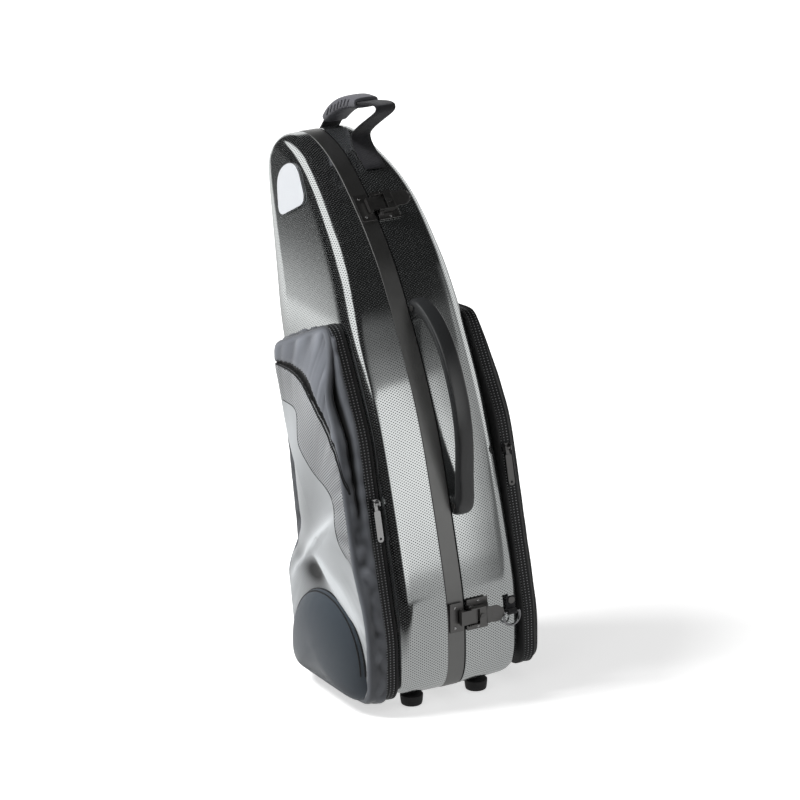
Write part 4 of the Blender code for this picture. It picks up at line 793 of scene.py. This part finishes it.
# Lines on the front cover, in x and z, from left to right: the flap's edge, the bound edge of the opening
# under it, the seam between mesh and satin, and two creases
FLAP_SEAM = rounded((
    (-0.120, 0.370), (-0.075, 0.383), (-0.050, 0.390), (-0.0186, 0.3955), (0.012, 0.3955), (0.033, 0.3915),
    (0.0464, 0.3838), (0.0581, 0.3705), (0.0700, 0.3570), (0.0885, 0.3346), (0.1027, 0.3106),
    (0.1124, 0.2836), (0.1188, 0.2672), (0.150, 0.190)))
BOUND_SEAM = rounded((
    (-0.120, 0.369), (-0.075, 0.3805), (-0.0465, 0.3862), (-0.0117, 0.3880), (0.010, 0.3855),
    (0.0276, 0.3795), (0.0470, 0.3680), (0.0630, 0.3530), (0.0822, 0.3330), (0.0998, 0.3098),
    (0.1112, 0.2834), (0.1186, 0.2668), (0.150, 0.189)))
MESH_SEAM = rounded((
    (-0.120, 0.338), (-0.0657, 0.3439), (-0.0171, 0.3484), (0.0090, 0.3484), (0.0150, 0.3400),
    (0.0156, 0.3200), (0.0170, 0.3060), (0.0244, 0.2970), (0.0443, 0.2844), (0.0602, 0.2759),
    (0.0770, 0.2705), (0.0900, 0.2620), (0.0975, 0.2480), (0.0995, 0.2340), (0.1005, 0.2180),
    (0.1054, 0.2044), (0.1151, 0.1944), (0.1244, 0.1863), (0.1366, 0.1728), (0.1498, 0.1453),
    (0.180, 0.110)))
LEFT_CREASE = ((0.0997, 0.2359), (0.0817, 0.2148), (0.0516, 0.1874), (0.0200, 0.1610), (-0.0045, 0.1406),
               (-0.0194, 0.1177))
RIGHT_CREASE = ((0.043, 0.1748), (0.060, 0.1640), (0.082, 0.1490), (0.115, 0.1300), (0.148, 0.1105))

# Zip tape: black nylon with two lines of pale stitches along it
zip_tape = new_material("black_coil_zip")
tree = zip_tape.node_tree
tape = add(tree, "UVMap", ON_SHEET)
dashes = add(tree, "Math MAXIMUM", i0=wave(tree, tape, "X", TAPE_PITCH), i1=0.0)
lines = wave(tree, tape, "Y", TAPE_ROW_SPACING, "COSINE")
stitches = add(tree, "MapRange", SMOOTH, From_Min=0.25, From_Max=0.6,
               Value=add(tree, "Math MULTIPLY", i0=lines, i1=dashes))
tone = add(tree, "Mix", COLOURS, Factor=stitches, i6=linear("#121314"), i7=linear("#8E9092"))
add_surface(zip_tape, Base_Color=tone, Roughness=0.55,
            Normal=add(tree, "Bump", Strength=0.6, Distance=0.0005, Height=stitches))

NYLON_WEAVE = 0.0018              # over two threads
MESH_WEAVE = 0.0038
FELT_WEAVE = 0.0022
SEAM_BLUR = 0.0003
EDGE_SHADE = 0.03                 # share of the rows over which the gusset's shade ends
FOLD_SHADE_DEPTH = 0.0035                # a fold pushed in this far is painted nearly black with shade

# Cloth of the cover: violet grey nylon with a soft shine, grey mesh with dark holes, and pale satin, by
# panel; painted shade on the gusset, in folds and in the opening under the flap, and painted highlight on
# ridges
cover_cloth = new_material("nylon_mesh_and_satin")
tree = cover_cloth.node_tree
cloth_uv = add(tree, "UVMap", ON_SHEET)
weave = checks(tree, cloth_uv, NYLON_WEAVE, NYLON_WEAVE)
holes = checks(tree, cloth_uv, MESH_WEAVE, MESH_WEAVE)
patchy = add(tree, "TexNoise", Vector=add(tree, "TexCoord", out="Object"), Scale=18.0, Detail=4.0)
marks = {mark: add(tree, "Attribute", {"attribute_name": mark}, out="Fac")
         for mark in ("below_flap", "below_binding", "below_mesh", "row_share", "pushed")}
in_mesh, painted_opening_shadow, in_satin = (
    add(tree, "MapRange", Value=marks[mark], From_Min=start, From_Max=end)
    for mark, start, end in (("below_flap", -SEAM_BLUR, SEAM_BLUR), ("below_binding", 2 * SEAM_BLUR, 0.0),
                             ("below_mesh", -SEAM_BLUR, SEAM_BLUR)))
nylon_tone = add(tree, "Mix", COLOURS, Factor=patchy, i6=linear("#62656B"), i7=linear("#74777D"))
mesh_tone = add(tree, "Mix", COLOURS, i6=linear("#9FA1A3"), i7=linear("#303133"),
                Factor=add(tree, "MapRange", Value=holes, From_Min=0.1, From_Max=0.5))
satin_tone = add(tree, "Mix", COLOURS, Factor=patchy, i6=linear("#9DA0A2"), i7=linear("#B0B3B5"))
lower = add(tree, "Mix", COLOURS, Factor=in_satin, i6=mesh_tone, i7=satin_tone)
# Painted shadow: the opening between the flap's edge and the bound seam under it is near black
with_opening_shadow = add(tree, "Mix", COLOURS, Factor=painted_opening_shadow, i6=lower, i7=linear("#08080A"))
panels = add(tree, "Mix", COLOURS, Factor=in_mesh, i6=nylon_tone, i7=with_opening_shadow)
# Painted shade: the cover's gusset is darkened to about half of its front, as its sides face away from the
# lamps
painted_gusset_shade = add(tree, "MapRange", SMOOTH, Value=marks["row_share"], From_Min=FACE_FROM - EDGE_SHADE,
               From_Max=FACE_FROM, To_Min=0.48, To_Max=1.0)
# Painted shade and highlight: cloth pushed in by a fold is darkened, and cloth pushed out on a ridge is
# lightened by up to half again
painted_fold_shade = add(tree, "MapRange", {"clamp": False}, Value=marks["pushed"], From_Min=-FOLD_SHADE_DEPTH, From_Max=0.0,
            To_Min=0.10, To_Max=1.0)
painted_fold_shade = add(tree, "Math MINIMUM", i0=add(tree, "Math MAXIMUM", i0=painted_fold_shade, i1=0.04), i1=1.5)
shaded = add(tree, "Mix", {"data_type": "RGBA", "blend_type": "MULTIPLY"}, Factor=1.0, i6=panels,
             i7=add(tree, "Math MULTIPLY", i0=painted_gusset_shade, i1=painted_fold_shade))
cloth_bump = add(tree, "Math ADD", i0=weave, i1=add(tree, "Math MULTIPLY", i0=holes, i1=in_mesh))
add_surface(cover_cloth, Base_Color=shaded, Sheen_Weight=0.2, Sheen_Roughness=0.4,
            Roughness=add(tree, "MapRange", Value=in_mesh, To_Min=0.34, To_Max=0.5),
            Normal=add(tree, "Bump", Strength=0.25, Distance=0.0003, Height=cloth_bump))

# Plain cloth of panels and piping: dull black nylon
black_nylon = new_material("dull_black_nylon")
tree = black_nylon.node_tree
weave = checks(tree, add(tree, "UVMap", ON_SHEET), NYLON_WEAVE, NYLON_WEAVE)
add_surface(black_nylon, Base_Color=linear("#0E0F11"), Roughness=0.6, Sheen_Weight=0.15,
            Normal=add(tree, "Bump", Strength=0.35, Distance=0.0003, Height=weave))


def middle_of(loop):
    return sum(loop, Vector((0, 0))) / len(loop)


def puck(name, loop, rows, follow=no_lift):
    """A closed cushion-like solid on a loop, from inset shares of 1 down to 0, inset distances and y."""
    outward, length, middle = facings(loop), length_of(loop), middle_of(loop)

    def place_at(column, row):
        share, inset, y = rows[row]
        point = loop[column % len(loop)] - outward[column % len(loop)] * inset
        point = middle + (point - middle) * share
        lifted = Vector((point.x, y + follow(point.y), point.y))
        return lifted, (column / len(loop) * length, y * 2 + share * 0.1)
    return bent_sheet(name, len(loop), len(rows) - 1, place_at)


def board_rows(first, last):
    """Rows of a puck for a flat board with rounded rims, from its y on one face to its y on the other."""
    turn = math.copysign(PANEL_ROUNDING, last - first)
    return [(0.0, 0.0, first), (1.0, PANEL_ROUNDING, first), (1.0, 0.0, first + turn),
            (1.0, 0.0, last - turn), (1.0, PANEL_ROUNDING, last), (0.0, 0.0, last)]


def tape_sections(low, high, groove):
    """Sections of a zip all round: two rounded tapes with a shallow groove where they meet."""
    return [(TAPE_EDGE, high), (0.0, high - TAPE_ROUNDING), (groove, (high + low) / 2),
            (0.0, low + TAPE_ROUNDING), (TAPE_EDGE, low), (ZIP_THICKNESS, low), (ZIP_THICKNESS, high)]


def seam_side(seam, x, z):
    """How far a point lies below a seam line, above it negative."""
    if x <= seam[0][0]:
        return seam[0][1] - z
    for (low_x, low_z), (high_x, high_z) in zip(seam, seam[1:]):
        if x <= high_x:
            slope = (high_z - low_z) / (high_x - low_x)
            return (low_z + slope * (x - low_x) - z) / math.sqrt(1 + slope * slope)
    return seam[-1][1] - z


def bell(value, centre, width):
    return math.exp(-((value - centre) / width) ** 2)


def eased(value, low, high):
    """From 0 below low to 1 above high."""
    share = min(1.0, max(0.0, (value - low) / (high - low)))
    return share * share * (3 - 2 * share)


def ridge(line, x, z, width):
    """Height of a sharp crease that runs along a line, fading at its ends."""
    place, best = Vector((x, z)), 0.0
    for index, (start, end) in enumerate(zip(line, line[1:])):
        way = Vector(end) - Vector(start)
        along = (place - Vector(start)).dot(way) / way.length_squared
        away = (place - Vector(start) - way * min(1.0, max(0.0, along))).length
        fade = math.sin(math.pi * (index + min(1.0, max(0.0, along)) + 0.35) / (len(line) - 0.3))
        best = max(best, math.exp(-away / width) * max(0.0, fade))
    return best


# The long fold in the gusset beside the latches: its height, how far it reaches up and down, and where it
# starts across; then its hollow, its crest and the slit along the zip, each with a depth, how far the place
# lies from the fold's centre or from the zip, and a width, in shares of the gusset
FOLD_HEIGHT = 0.36
FOLD_REACH = 0.10
FOLD_FROM_X = (0.04, 0.08)
FOLD_CENTRE = 0.74
FOLD_DRIFT = 0.26                 # the centre comes this much closer to the zip lower down
HOLLOW = (-0.012, 0.0, 0.24)
CREST = (0.006, -0.38, 0.13)
SLIT = (-0.006, 0.04, 0.08)
PUCKER = 0.0042
WAIST_TOP = 0.42
CREASE_WIDTH = 0.008
LEFT_DEPTH = 0.0065
RIGHT_DEPTH = 0.0070
SAG = 0.0022
GATHERS = 0.003
FLAP_STEP = 0.0035
RIM_HOLD = 5                      # how soon the puckers of the rim die out towards the middle
DENT = (-0.004, 0.03, 0.05, 0.15, 0.02)         # its depth, then place and width along x and along z


def front_wrinkle(x, z, arc, gusset, share):
    """How far the front cover's cloth moves out: gusset runs from zip to front edge, share to the middle."""
    ripple = noise.noise(Vector((arc * 70, gusset * 1.6, 3.1)))
    if share >= 1:
        fold = bell(z, FOLD_HEIGHT, FOLD_REACH) * eased(x, *FOLD_FROM_X)
        centre = FOLD_CENTRE - FOLD_DRIFT * eased(WAIST_TOP - z, 0.0, 0.10)
        folded = sum(depth * bell(gusset, place, width) for depth, place, width in (
            (HOLLOW[0], centre + HOLLOW[1], HOLLOW[2]), (CREST[0], centre + CREST[1], CREST[2]), SLIT))
        puckered = PUCKER * ripple * math.sin(math.pi * min(1.0, gusset * 0.8 + 0.1))
        return folded * fold + puckered * (1 - 0.4 * fold)
    rim = share ** RIM_HOLD
    below_flap = eased(seam_side(FLAP_SEAM, x, z), -0.001, 0.002)
    gap = below_flap * eased(-seam_side(BOUND_SEAM, x, z), -0.001, 0.001)
    creases = LEFT_DEPTH * ridge(LEFT_CREASE, x, z, CREASE_WIDTH)
    creases += RIGHT_DEPTH * ridge(RIGHT_CREASE, x, z, CREASE_WIDTH)
    dent = DENT[0] * bell(x, *DENT[1:3]) * bell(z, *DENT[3:])
    sag = SAG * noise.noise(Vector((x * 14, z * 10, 7.7))) * (1 - rim)
    gathers = GATHERS * noise.noise(Vector((x * 55, z * 9, 1.3))) * eased(z, 0.405, 0.445)
    return creases + dent + sag + gathers - FLAP_STEP * gap + SAG * ripple * rim


def back_wrinkle(x, z, arc, gusset, share):
    ripple = noise.noise(Vector((arc * 40, gusset * 2, 12.5)))
    return BACK_PUCKER * ripple * share ** RIM_HOLD


EDGE_INSET = 0.003
LATCH_INSET = 0.011               # more on the latch side, and more again on the hinge side
HINGE_INSET = 0.014
HINGE_SINK = 0.018
FRONT_LEAN = (0.018, 0.375, 0.458)              # how far, and from where to where it sets in
BACK_LEAN = (0.006, 0.36, 0.46)
BACK_INSET = 0.004
BACK_PUCKER = 0.0005


def front_edge(out, z):
    """How far the cover's front edge lies inside its zip, and how far it sinks on the hinge side."""
    latch, hinge = max(0.0, out.x), max(0.0, -out.x)
    waist = eased(z, 0.12, 0.19) * eased(WAIST_TOP - z, 0.0, 0.05)
    return EDGE_INSET + (LATCH_INSET * latch + HINGE_INSET * hinge) * waist, HINGE_SINK * hinge * waist


def front_slope(z):
    """How far the whole front lies back towards its sloping top."""
    return FRONT_LEAN[0] * eased(z, *FRONT_LEAN[1:])


def back_edge(out, z):
    return BACK_INSET, 0.0


def back_slope(z):
    return BACK_LEAN[0] * eased(z, *BACK_LEAN[1:])


def cover_surface(loop, face_y, side, rises, crown, crown_shares, edge_at, slope, wrinkle, follow=no_lift):
    """place_at of a pocket's cover, from its rim to the middle of its crowned front."""
    outward, length, middle = facings(loop), length_of(loop), middle_of(loop)
    low = min(point.y for point in loop)
    tall = max(point.y for point in loop) - low
    rim_rise, top_rise = rises

    def place_at(column, row):
        column_share = column / len(loop)
        point, out = loop[column % len(loop)], outward[column % len(loop)]
        arc = column_share % 1 * length
        angle = QUARTER_TURN * min(1.0, max(0.0, (row - GUSSET_ROWS) / COVER_EDGE_ROWS))
        gusset = min(1.0, row / GUSSET_ROWS)
        inset, sink = edge_at(out, point.y)
        rise = rim_rise + (top_rise - COVER_EDGE - rim_rise) * gusset + COVER_EDGE * math.sin(angle)
        moved = point - out * (inset * gusset + COVER_EDGE * (1 - math.cos(angle)))
        share = 1 - max(0, row - GUSSET_ROWS - COVER_EDGE_ROWS) / COVER_FACE_ROWS
        moved = middle + (moved - middle) * share
        bulge = crown * read_table(crown_shares, (moved.y - low) / tall) * (1 - share * share)
        bulge -= sink * gusset * share * share + slope(moved.y) * gusset
        push = wrinkle(moved.x, moved.y, arc, gusset + angle / QUARTER_TURN * 0.2, share)
        facing_out = math.cos(angle)
        moved = moved + out * push * facing_out
        y = face_y + side * (rise + bulge + push * (1 - facing_out)) + follow(moved.y)
        return Vector((moved.x, y, moved.y)), (column_share * length, rise), push
    return place_at


def mark_seam(piece, name, seam):
    """Store at each point how far it lies below a seam; above it and on the gusset the value is negative."""
    places = numpy.array([(vertex.co.x, vertex.co.z) for vertex in piece.data.vertices])
    rows = numpy.array([row.value for row in piece.data.attributes["row_share"].data])
    line = numpy.array([tuple(point) for point in seam])
    away = numpy.full(len(places), 1.0)
    for start, way in zip(line[:-1], line[1:] - line[:-1]):
        along = numpy.clip((places - start) @ way / (way @ way), 0, 1)
        away = numpy.minimum(away, numpy.linalg.norm(places - start - along[:, None] * way, axis=1))
    below = numpy.interp(places[:, 0], line[:, 0], line[:, 1]) - places[:, 1]
    values = numpy.minimum(numpy.sign(below) * away, (rows - FACE_FROM) * GUSSET_FALL)
    piece.data.attributes.new(name, "FLOAT", "POINT").data.foreach_set("value", values)


LID_FACE = LID_SPLIT - LID_DEPTH
POCKET_RISE = 0.010               # the sewn pocket reaches a little above its node
POCKET_RISE_FROM = (0.25, 0.42)
front_loop = [Vector((point.x, point.y + POCKET_RISE * eased(point.y, *POCKET_RISE_FROM)))
              for point in outline_of("front_pocket_zip", POCKET_COLUMNS)]
panel_low, panel_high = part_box("front_pocket_panel")
panel = puck("front_pocket_board", front_loop, board_rows(panel_high.y, panel_low.y))
dress(panel, black_nylon, "zip_tape", "lid", "front_pocket_panel")

ZIP_THICKNESS = 0.0050
TAPE_OVER = 0.0050                # the tape shows beyond its coil
TAPE_EDGE = 0.0004
TAPE_ROUNDING = 0.001
FRONT_GROOVE = 0.0007
zip_low, zip_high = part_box("front_pocket_zip")
zip_sections = tape_sections(zip_low.y - TAPE_OVER, zip_high.y, FRONT_GROOVE)
zip_place = ring_round(front_loop, zip_sections)
front_zip = bent_sheet("front_zip_tape", POCKET_COLUMNS, len(zip_sections), zip_place)
dress(front_zip, zip_tape, "zip_tape", "front_cover", "front_pocket_zip")

FRONT_GUSSET = 0.025
FRONT_CROWN = 0.021
cover_rim = LID_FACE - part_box("front_pocket_cover")[1].y
front_top = cover_rim + FRONT_GUSSET
cover = bent_sheet("front_pocket_bag", POCKET_COLUMNS, COVER_ROWS, cover_surface(
    front_loop, LID_FACE, -1, (cover_rim + TAPE_OVER, front_top), FRONT_CROWN, FRONT_CROWN_SHARES, front_edge,
    front_slope, front_wrinkle), FACE_FROM)
mark_seam(cover, "below_flap", FLAP_SEAM)
mark_seam(cover, "below_binding", BOUND_SEAM)
mark_seam(cover, "below_mesh", MESH_SEAM)
apply(cover, "SOLIDIFY", thickness=COVER_WALL, offset=-1)
dress(cover, cover_cloth, "nylon", "front_cover", "front_pocket_cover")


def laid_path(target, line, count, direction, sink):
    """Points of a line in x and z, laid on a piece that they are dropped on along a direction."""
    surface = BVHTree.FromObject(target, bpy.context.evaluated_depsgraph_get())
    path = []
    for x, z in resampled([Vector(point) for point in line], count):
        hit, normal, index, distance = surface.ray_cast(Vector((x, 0, z)) - direction * 0.5, direction)
        if hit:
            path.append(hit - normal * sink)
    for repeat in range(EASING_PASSES):
        path = [path[0]] + [(a + b * 2 + c) / 4 for a, b, c in zip(path, path[1:], path[2:])] + [path[-1]]
    return path


INWARD = Vector((0, 1, 0))
PIPING = 0.0013
PIPING_POINTS = 140
PIPING_SINK = 0.3                 # share of its radius that is sewn in
SEEN_FROM = -0.060                # the seams run from here to their lower ends
for seam_name, seam, seam_end, radius in (("flap", FLAP_SEAM, 0.119, PIPING * 0.6),
                                          ("opening", BOUND_SEAM, 0.1185, PIPING),
                                          ("mesh", MESH_SEAM, 0.122, PIPING * 0.45)):
    seam = [point for point in seam if SEEN_FROM < point.x < seam_end]
    path = laid_path(cover, seam, PIPING_POINTS, INWARD, radius * PIPING_SINK)
    piping = tube(f"front_{seam_name}_piping", path, radius, INWARD)
    dress(piping, black_nylon, "nylon", "front_cover")


# Dome pocket
# A padded pocket low on the front, of slate grey cloth over foam, with two lines of piping round its top.

DOME_COLUMNS = 160
DOME_EDGE = 0.16                  # share of its depth that its upright edge takes
DOME_ROWS = 32
DOME_TOP_FROM = 0.30              # share of its height from which its piping runs
DOME_PIPING = (0.998, 0.965)      # shares of the way out from its middle
DOME_CROWDING = 0.7               # its rows lie closer towards its edge
DOME_FLAT = 2.3
DOME_ROUND = 0.62
ARC_BREAK = 0.02                  # points further apart than this are the ends of the arc

# Slate cloth: blue grey, matt, a close weave that just shows
dome_cloth = new_material("slate_woven_cloth")
tree = dome_cloth.node_tree
weave = checks(tree, add(tree, "UVMap", ON_SHEET), FELT_WEAVE, FELT_WEAVE)
tone = add(tree, "Mix", COLOURS, i6=linear("#2C333A"), i7=linear("#3C444C"),
           Factor=add(tree, "MapRange", Value=weave, From_Min=-1.0, From_Max=1.0))
add_surface(dome_cloth, Base_Color=tone, Roughness=0.75, Sheen_Weight=0.3, Sheen_Roughness=0.5,
            Normal=add(tree, "Bump", Strength=0.3, Distance=0.0003, Height=weave))


def dome_y(share):
    """y of the dome's surface at a share of the way out from its middle."""
    rise = DOME_EDGE + (1 - DOME_EDGE) * (1 - share ** DOME_FLAT) ** DOME_ROUND
    return dome_high.y - (dome_high.y - dome_low.y) * rise


dome_loop = outline_of("dome_pocket", DOME_COLUMNS)
dome_low, dome_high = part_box("dome_pocket")
dome_rows = [(0.0, 0.0, dome_high.y), (1.0, 0.0, dome_high.y)]
for step in range(DOME_ROWS + 1):
    share = math.cos(QUARTER_TURN * step / DOME_ROWS) ** DOME_CROWDING
    dome_rows.append((share, 0.0, dome_y(share)))
dome = puck("dome_pocket_pad", dome_loop, dome_rows)
dress(dome, dome_cloth, "dome_cloth", "front_cover", "dome_pocket")

# Its piping runs over the upper arc only, which starts after the widest gap in the loop
dome_middle = middle_of(dome_loop)
arc_from = dome_low.z + (dome_high.z - dome_low.z) * DOME_TOP_FROM
upper_arc = [point for point in dome_loop if point.y > arc_from]
gaps = [(second - first).length for first, second in zip(upper_arc, upper_arc[1:])]
turn_at = gaps.index(max(gaps)) + 1
upper_arc = upper_arc[turn_at:] + upper_arc[:turn_at] if max(gaps) > ARC_BREAK else upper_arc
for number, share in enumerate(DOME_PIPING):
    arc = [dome_middle + (point - dome_middle) * share for point in upper_arc]
    path = [Vector((point.x, dome_y(share), point.y)) for point in arc]
    piping = tube(f"dome_piping_{number + 1}", path, PIPING * 0.8, INWARD)
    dress(piping, black_nylon, "dome_cloth", "front_cover")


# Back pocket
# A flat padded cover on the back with its own zip; behind it lie two shoulder straps.

BACK_GUSSET = 0.014
BACK_CROWN = 0.007
back_loop = outline_of("back_pocket_zip", POCKET_COLUMNS)
BACK_SLOPE = (BASE_DEPTH_SHARES[1][1] - 1) / BASE_DEPTH_SHARES[1][0] * BASE_DEPTH / BODY_HEIGHT
BACK_FACE = BASE_SPLIT + BASE_DEPTH
BACK_BOARD = (BACK_FACE + 0.0006, BACK_FACE + 0.0046)
BACK_TAPE = (0.0049, 0.0119)      # over the face
BACK_GROOVE = 0.0008
STRAP_ROUNDING = 0.0015
STRAP_SHARP = 30


def back_lift(height):
    """How far the base's sloping face stands from its lowest part."""
    return BACK_SLOPE * (height - UNDERSIDE)


board = puck("back_pocket_board", back_loop, board_rows(*BACK_BOARD), back_lift)
dress(board, black_nylon, "zip_tape", "base_case", "back_pocket_panel")
back_rim = BACK_TAPE[1] + TAPE_OVER + GAP
zip_sections = tape_sections(BACK_FACE + BACK_TAPE[0], BACK_FACE + BACK_TAPE[1] + TAPE_OVER, BACK_GROOVE)
zip_place = ring_round(back_loop, zip_sections, back_lift)
back_zip = bent_sheet("back_zip_tape", POCKET_COLUMNS, len(zip_sections), zip_place)
dress(back_zip, zip_tape, "zip_tape", "back_cover", "back_pocket_zip")
back_cover = bent_sheet("back_pocket_pad", POCKET_COLUMNS, COVER_ROWS, cover_surface(
    back_loop, BACK_FACE, 1, (back_rim, back_rim - TAPE_OVER + BACK_GUSSET), BACK_CROWN, BACK_CROWN_SHARES,
    back_edge, back_slope, back_wrinkle, back_lift), FACE_FROM)
apply(back_cover, "SOLIDIFY", thickness=COVER_WALL, offset=-1)
dress(back_cover, black_nylon, "nylon", "back_cover", "back_pocket_cover")

for side_name in ("latch", "hinge"):
    node = f"stowed_shoulder_strap_{side_name}"
    stowed = merged_copy(node, node + "_pad")
    soften(stowed, STRAP_ROUNDING, 3, STRAP_SHARP)
    dress(stowed, webbing, "webbing", "base_case", node)


# Studio
# A white floor and surround, dark overhead, and three soft lamps.

FLOOR_SIZE = 24.0
UP = (0, 0, 1)
TOWARDS_FRONT = (0, -1, 0)
TOWARDS_CAMERA = (0.45, -0.89, 0)
TOWARDS_LEFT = (-0.87, -0.49, 0)
BESIDE = (0.87, 0.50, 0)
ASIDE = (-0.50, 0.87, 0)
BEHIND = (-0.87, 0.49, 0)
IN_FRONT = (-0.035, -1, 0)


def brightest(tree, vector, areas, least):
    """The brightest of several areas: each is a product of levels that ease along a direction.

    A level is given as its direction, where it starts and ends, and its values there.
    """
    for levels in areas:
        area = 1.0
        for direction, low, high, start, end in levels:
            along = add(tree, "VectorMath DOT_PRODUCT", i0=vector, i1=direction)
            level = add(tree, "MapRange", SMOOTH, Value=along, From_Min=low, From_Max=high, To_Min=start,
                        To_Max=end)
            area = add(tree, "Math MULTIPLY", i0=area, i1=level)
        least = add(tree, "Math MAXIMUM", i0=least, i1=area)
    return least


# White paper; in mirror surfaces it is duller close by, and dark far out in front
MIRRORED_PAPER = ((TOWARDS_LEFT, 0.5, 2.4, 0.44, 0.95), (TOWARDS_FRONT, 1.2, 2.1, 1.0, 0.03),
                  (TOWARDS_CAMERA, 0.25, 0.5, 1.0, 0.03))
white = new_material("white_paper_floor")
tree = white.node_tree
floor_place = add(tree, "TexCoord", out="Object")
seen_glow = add(tree, "MapRange", SMOOTH, From_Min=0.4, From_Max=2.2, To_Min=0.58, To_Max=0.9,
                Value=add(tree, "VectorMath LENGTH", i0=floor_place))
in_camera = add(tree, "LightPath", out="Is Camera Ray")
glow = add(tree, "Emission", Color=(1, 1, 1, 1),
           Strength=add(tree, "Math MULTIPLY", i0=seen_glow, i1=in_camera))
paper = add(tree, "AddShader", i0=glow, i1=add(tree, "BsdfDiffuse", Color=linear("#EDEDED")))
mirrored = add(tree, "Emission", Color=(1, 1, 1, 1),
               Strength=brightest(tree, floor_place, [MIRRORED_PAPER], 0.0))
add(tree, "OutputMaterial", Surface=add(tree, "MixShader", i0=add(tree, "LightPath", out="Is Glossy Ray"),
                                        i1=paper, i2=mirrored))
bpy.ops.object.select_all(action="DESELECT")
bpy.ops.mesh.primitive_plane_add(size=FLOOR_SIZE)
floor = bpy.context.object
floor.name = "floor"
floor.data.materials.append(white)

# What mirror surfaces see round them: a low white wall beside the latches, duller to one side and with a dim
# top, another behind, a broad softbox high in front, and a low wall at the back; all else is dark
BESIDE_LATCHES = ((BESIDE, 0.62, 0.80, 0.0, 1.0), (UP, 0.075, 0.11, 0.42, 1.0),
                  (ASIDE, -0.02, 0.09, 1.0, 0.35))
SURROUND = (
    (*BESIDE_LATCHES, (UP, 0.475, 0.490, 0.95, 0.0)),
    (*BESIDE_LATCHES, (UP, 0.47, 0.64, 0.30, 0.0)),
    ((BEHIND, 0.84, 0.96, 0.0, 1.0), (UP, 0.35, 0.60, 0.9, 0.0)),
    ((IN_FRONT, 0.30, 0.40, 0.0, 1.0), (UP, 0.455, 0.485, 0.0, 1.0), (UP, 0.84, 0.88, 1.0, 0.0)),
    ((ASIDE, 0.50, 0.75, 0.0, 1.0), (UP, 0.20, 0.45, 0.8, 0.0)),
)
DARK_ROOM = 0.012
UNSEEN_LIGHT = 0.24               # of the surround on everything that isn't a mirror
world = bpy.data.worlds.new("white_surround")
world.use_nodes = True
bpy.context.scene.world = world
tree = world.node_tree
tree.nodes.clear()
around = brightest(tree, add(tree, "TexCoord", out="Generated"), SURROUND, DARK_ROOM)
unseen = add(tree, "Mix", Factor=add(tree, "LightPath", out="Is Glossy Ray"), A=UNSEEN_LIGHT, B=around)
strength = add(tree, "Mix", Factor=add(tree, "LightPath", out="Is Camera Ray"), A=unseen, B=1.0)
add(tree, "OutputWorld", Surface=add(tree, "Background", Color=(1, 1, 1, 1), Strength=strength))

AIM = Vector((0, 0, 0.32))


def add_softbox(name, place, width, height, power):
    lamp = bpy.data.lights.new(name, "AREA")
    lamp.shape = "RECTANGLE"
    lamp.size = width
    lamp.size_y = height
    lamp.energy = power
    softbox = bpy.data.objects.new(name, lamp)
    bpy.context.scene.collection.objects.link(softbox)
    softbox.location = place
    softbox.visible_glossy = False
    softbox.rotation_euler = (AIM - Vector(place)).to_track_quat("-Z", "Y").to_euler()


add_softbox("key_softbox", (1.15, -1.95, 1.25), 0.9, 2.4, 4)
add_softbox("left_softbox", (-1.0, -1.7, 2.9), 1.2, 1.2, 140)
add_softbox("fill_softbox", (2.6, 1.6, 2.4), 1.4, 1.4, 3)

bpy.context.scene.view_settings.view_transform = "Standard"


# Camera
# Where the photograph was taken from, fitted to the case's own corners.

CAMERA_AZIMUTH = math.radians(60.855)
CAMERA_ELEVATION = math.radians(18.714)
CAMERA_ROLL = math.radians(-1.012)
CAMERA_DISTANCE = 4.981
CAMERA_TARGET = Vector((0, 0, 0.33))
FOCAL_PIXELS = 4102.95
PHOTO_PIXELS = 800
MIDDLE_PIXEL_X = 373.35
MIDDLE_PIXEL_Y = 403.75
SENSOR = 36

back = Vector((math.cos(CAMERA_ELEVATION) * math.sin(CAMERA_AZIMUTH),
               -math.cos(CAMERA_ELEVATION) * math.cos(CAMERA_AZIMUTH), math.sin(CAMERA_ELEVATION)))
camera_data = bpy.data.cameras.new("photo_camera")
camera_data.sensor_width = SENSOR
camera_data.lens = FOCAL_PIXELS / PHOTO_PIXELS * SENSOR
camera_data.shift_x = (PHOTO_PIXELS / 2 - MIDDLE_PIXEL_X) / PHOTO_PIXELS
camera_data.shift_y = (MIDDLE_PIXEL_Y - PHOTO_PIXELS / 2) / PHOTO_PIXELS
camera = bpy.data.objects.new("photo_camera", camera_data)
bpy.context.scene.collection.objects.link(camera)
turn = Matrix.Rotation(CAMERA_ROLL, 3, back) @ (-back).to_track_quat("-Z", "Y").to_matrix()
camera.matrix_world = Matrix.Translation(CAMERA_TARGET + back * CAMERA_DISTANCE) @ turn.to_4x4()
bpy.context.scene.camera = camera
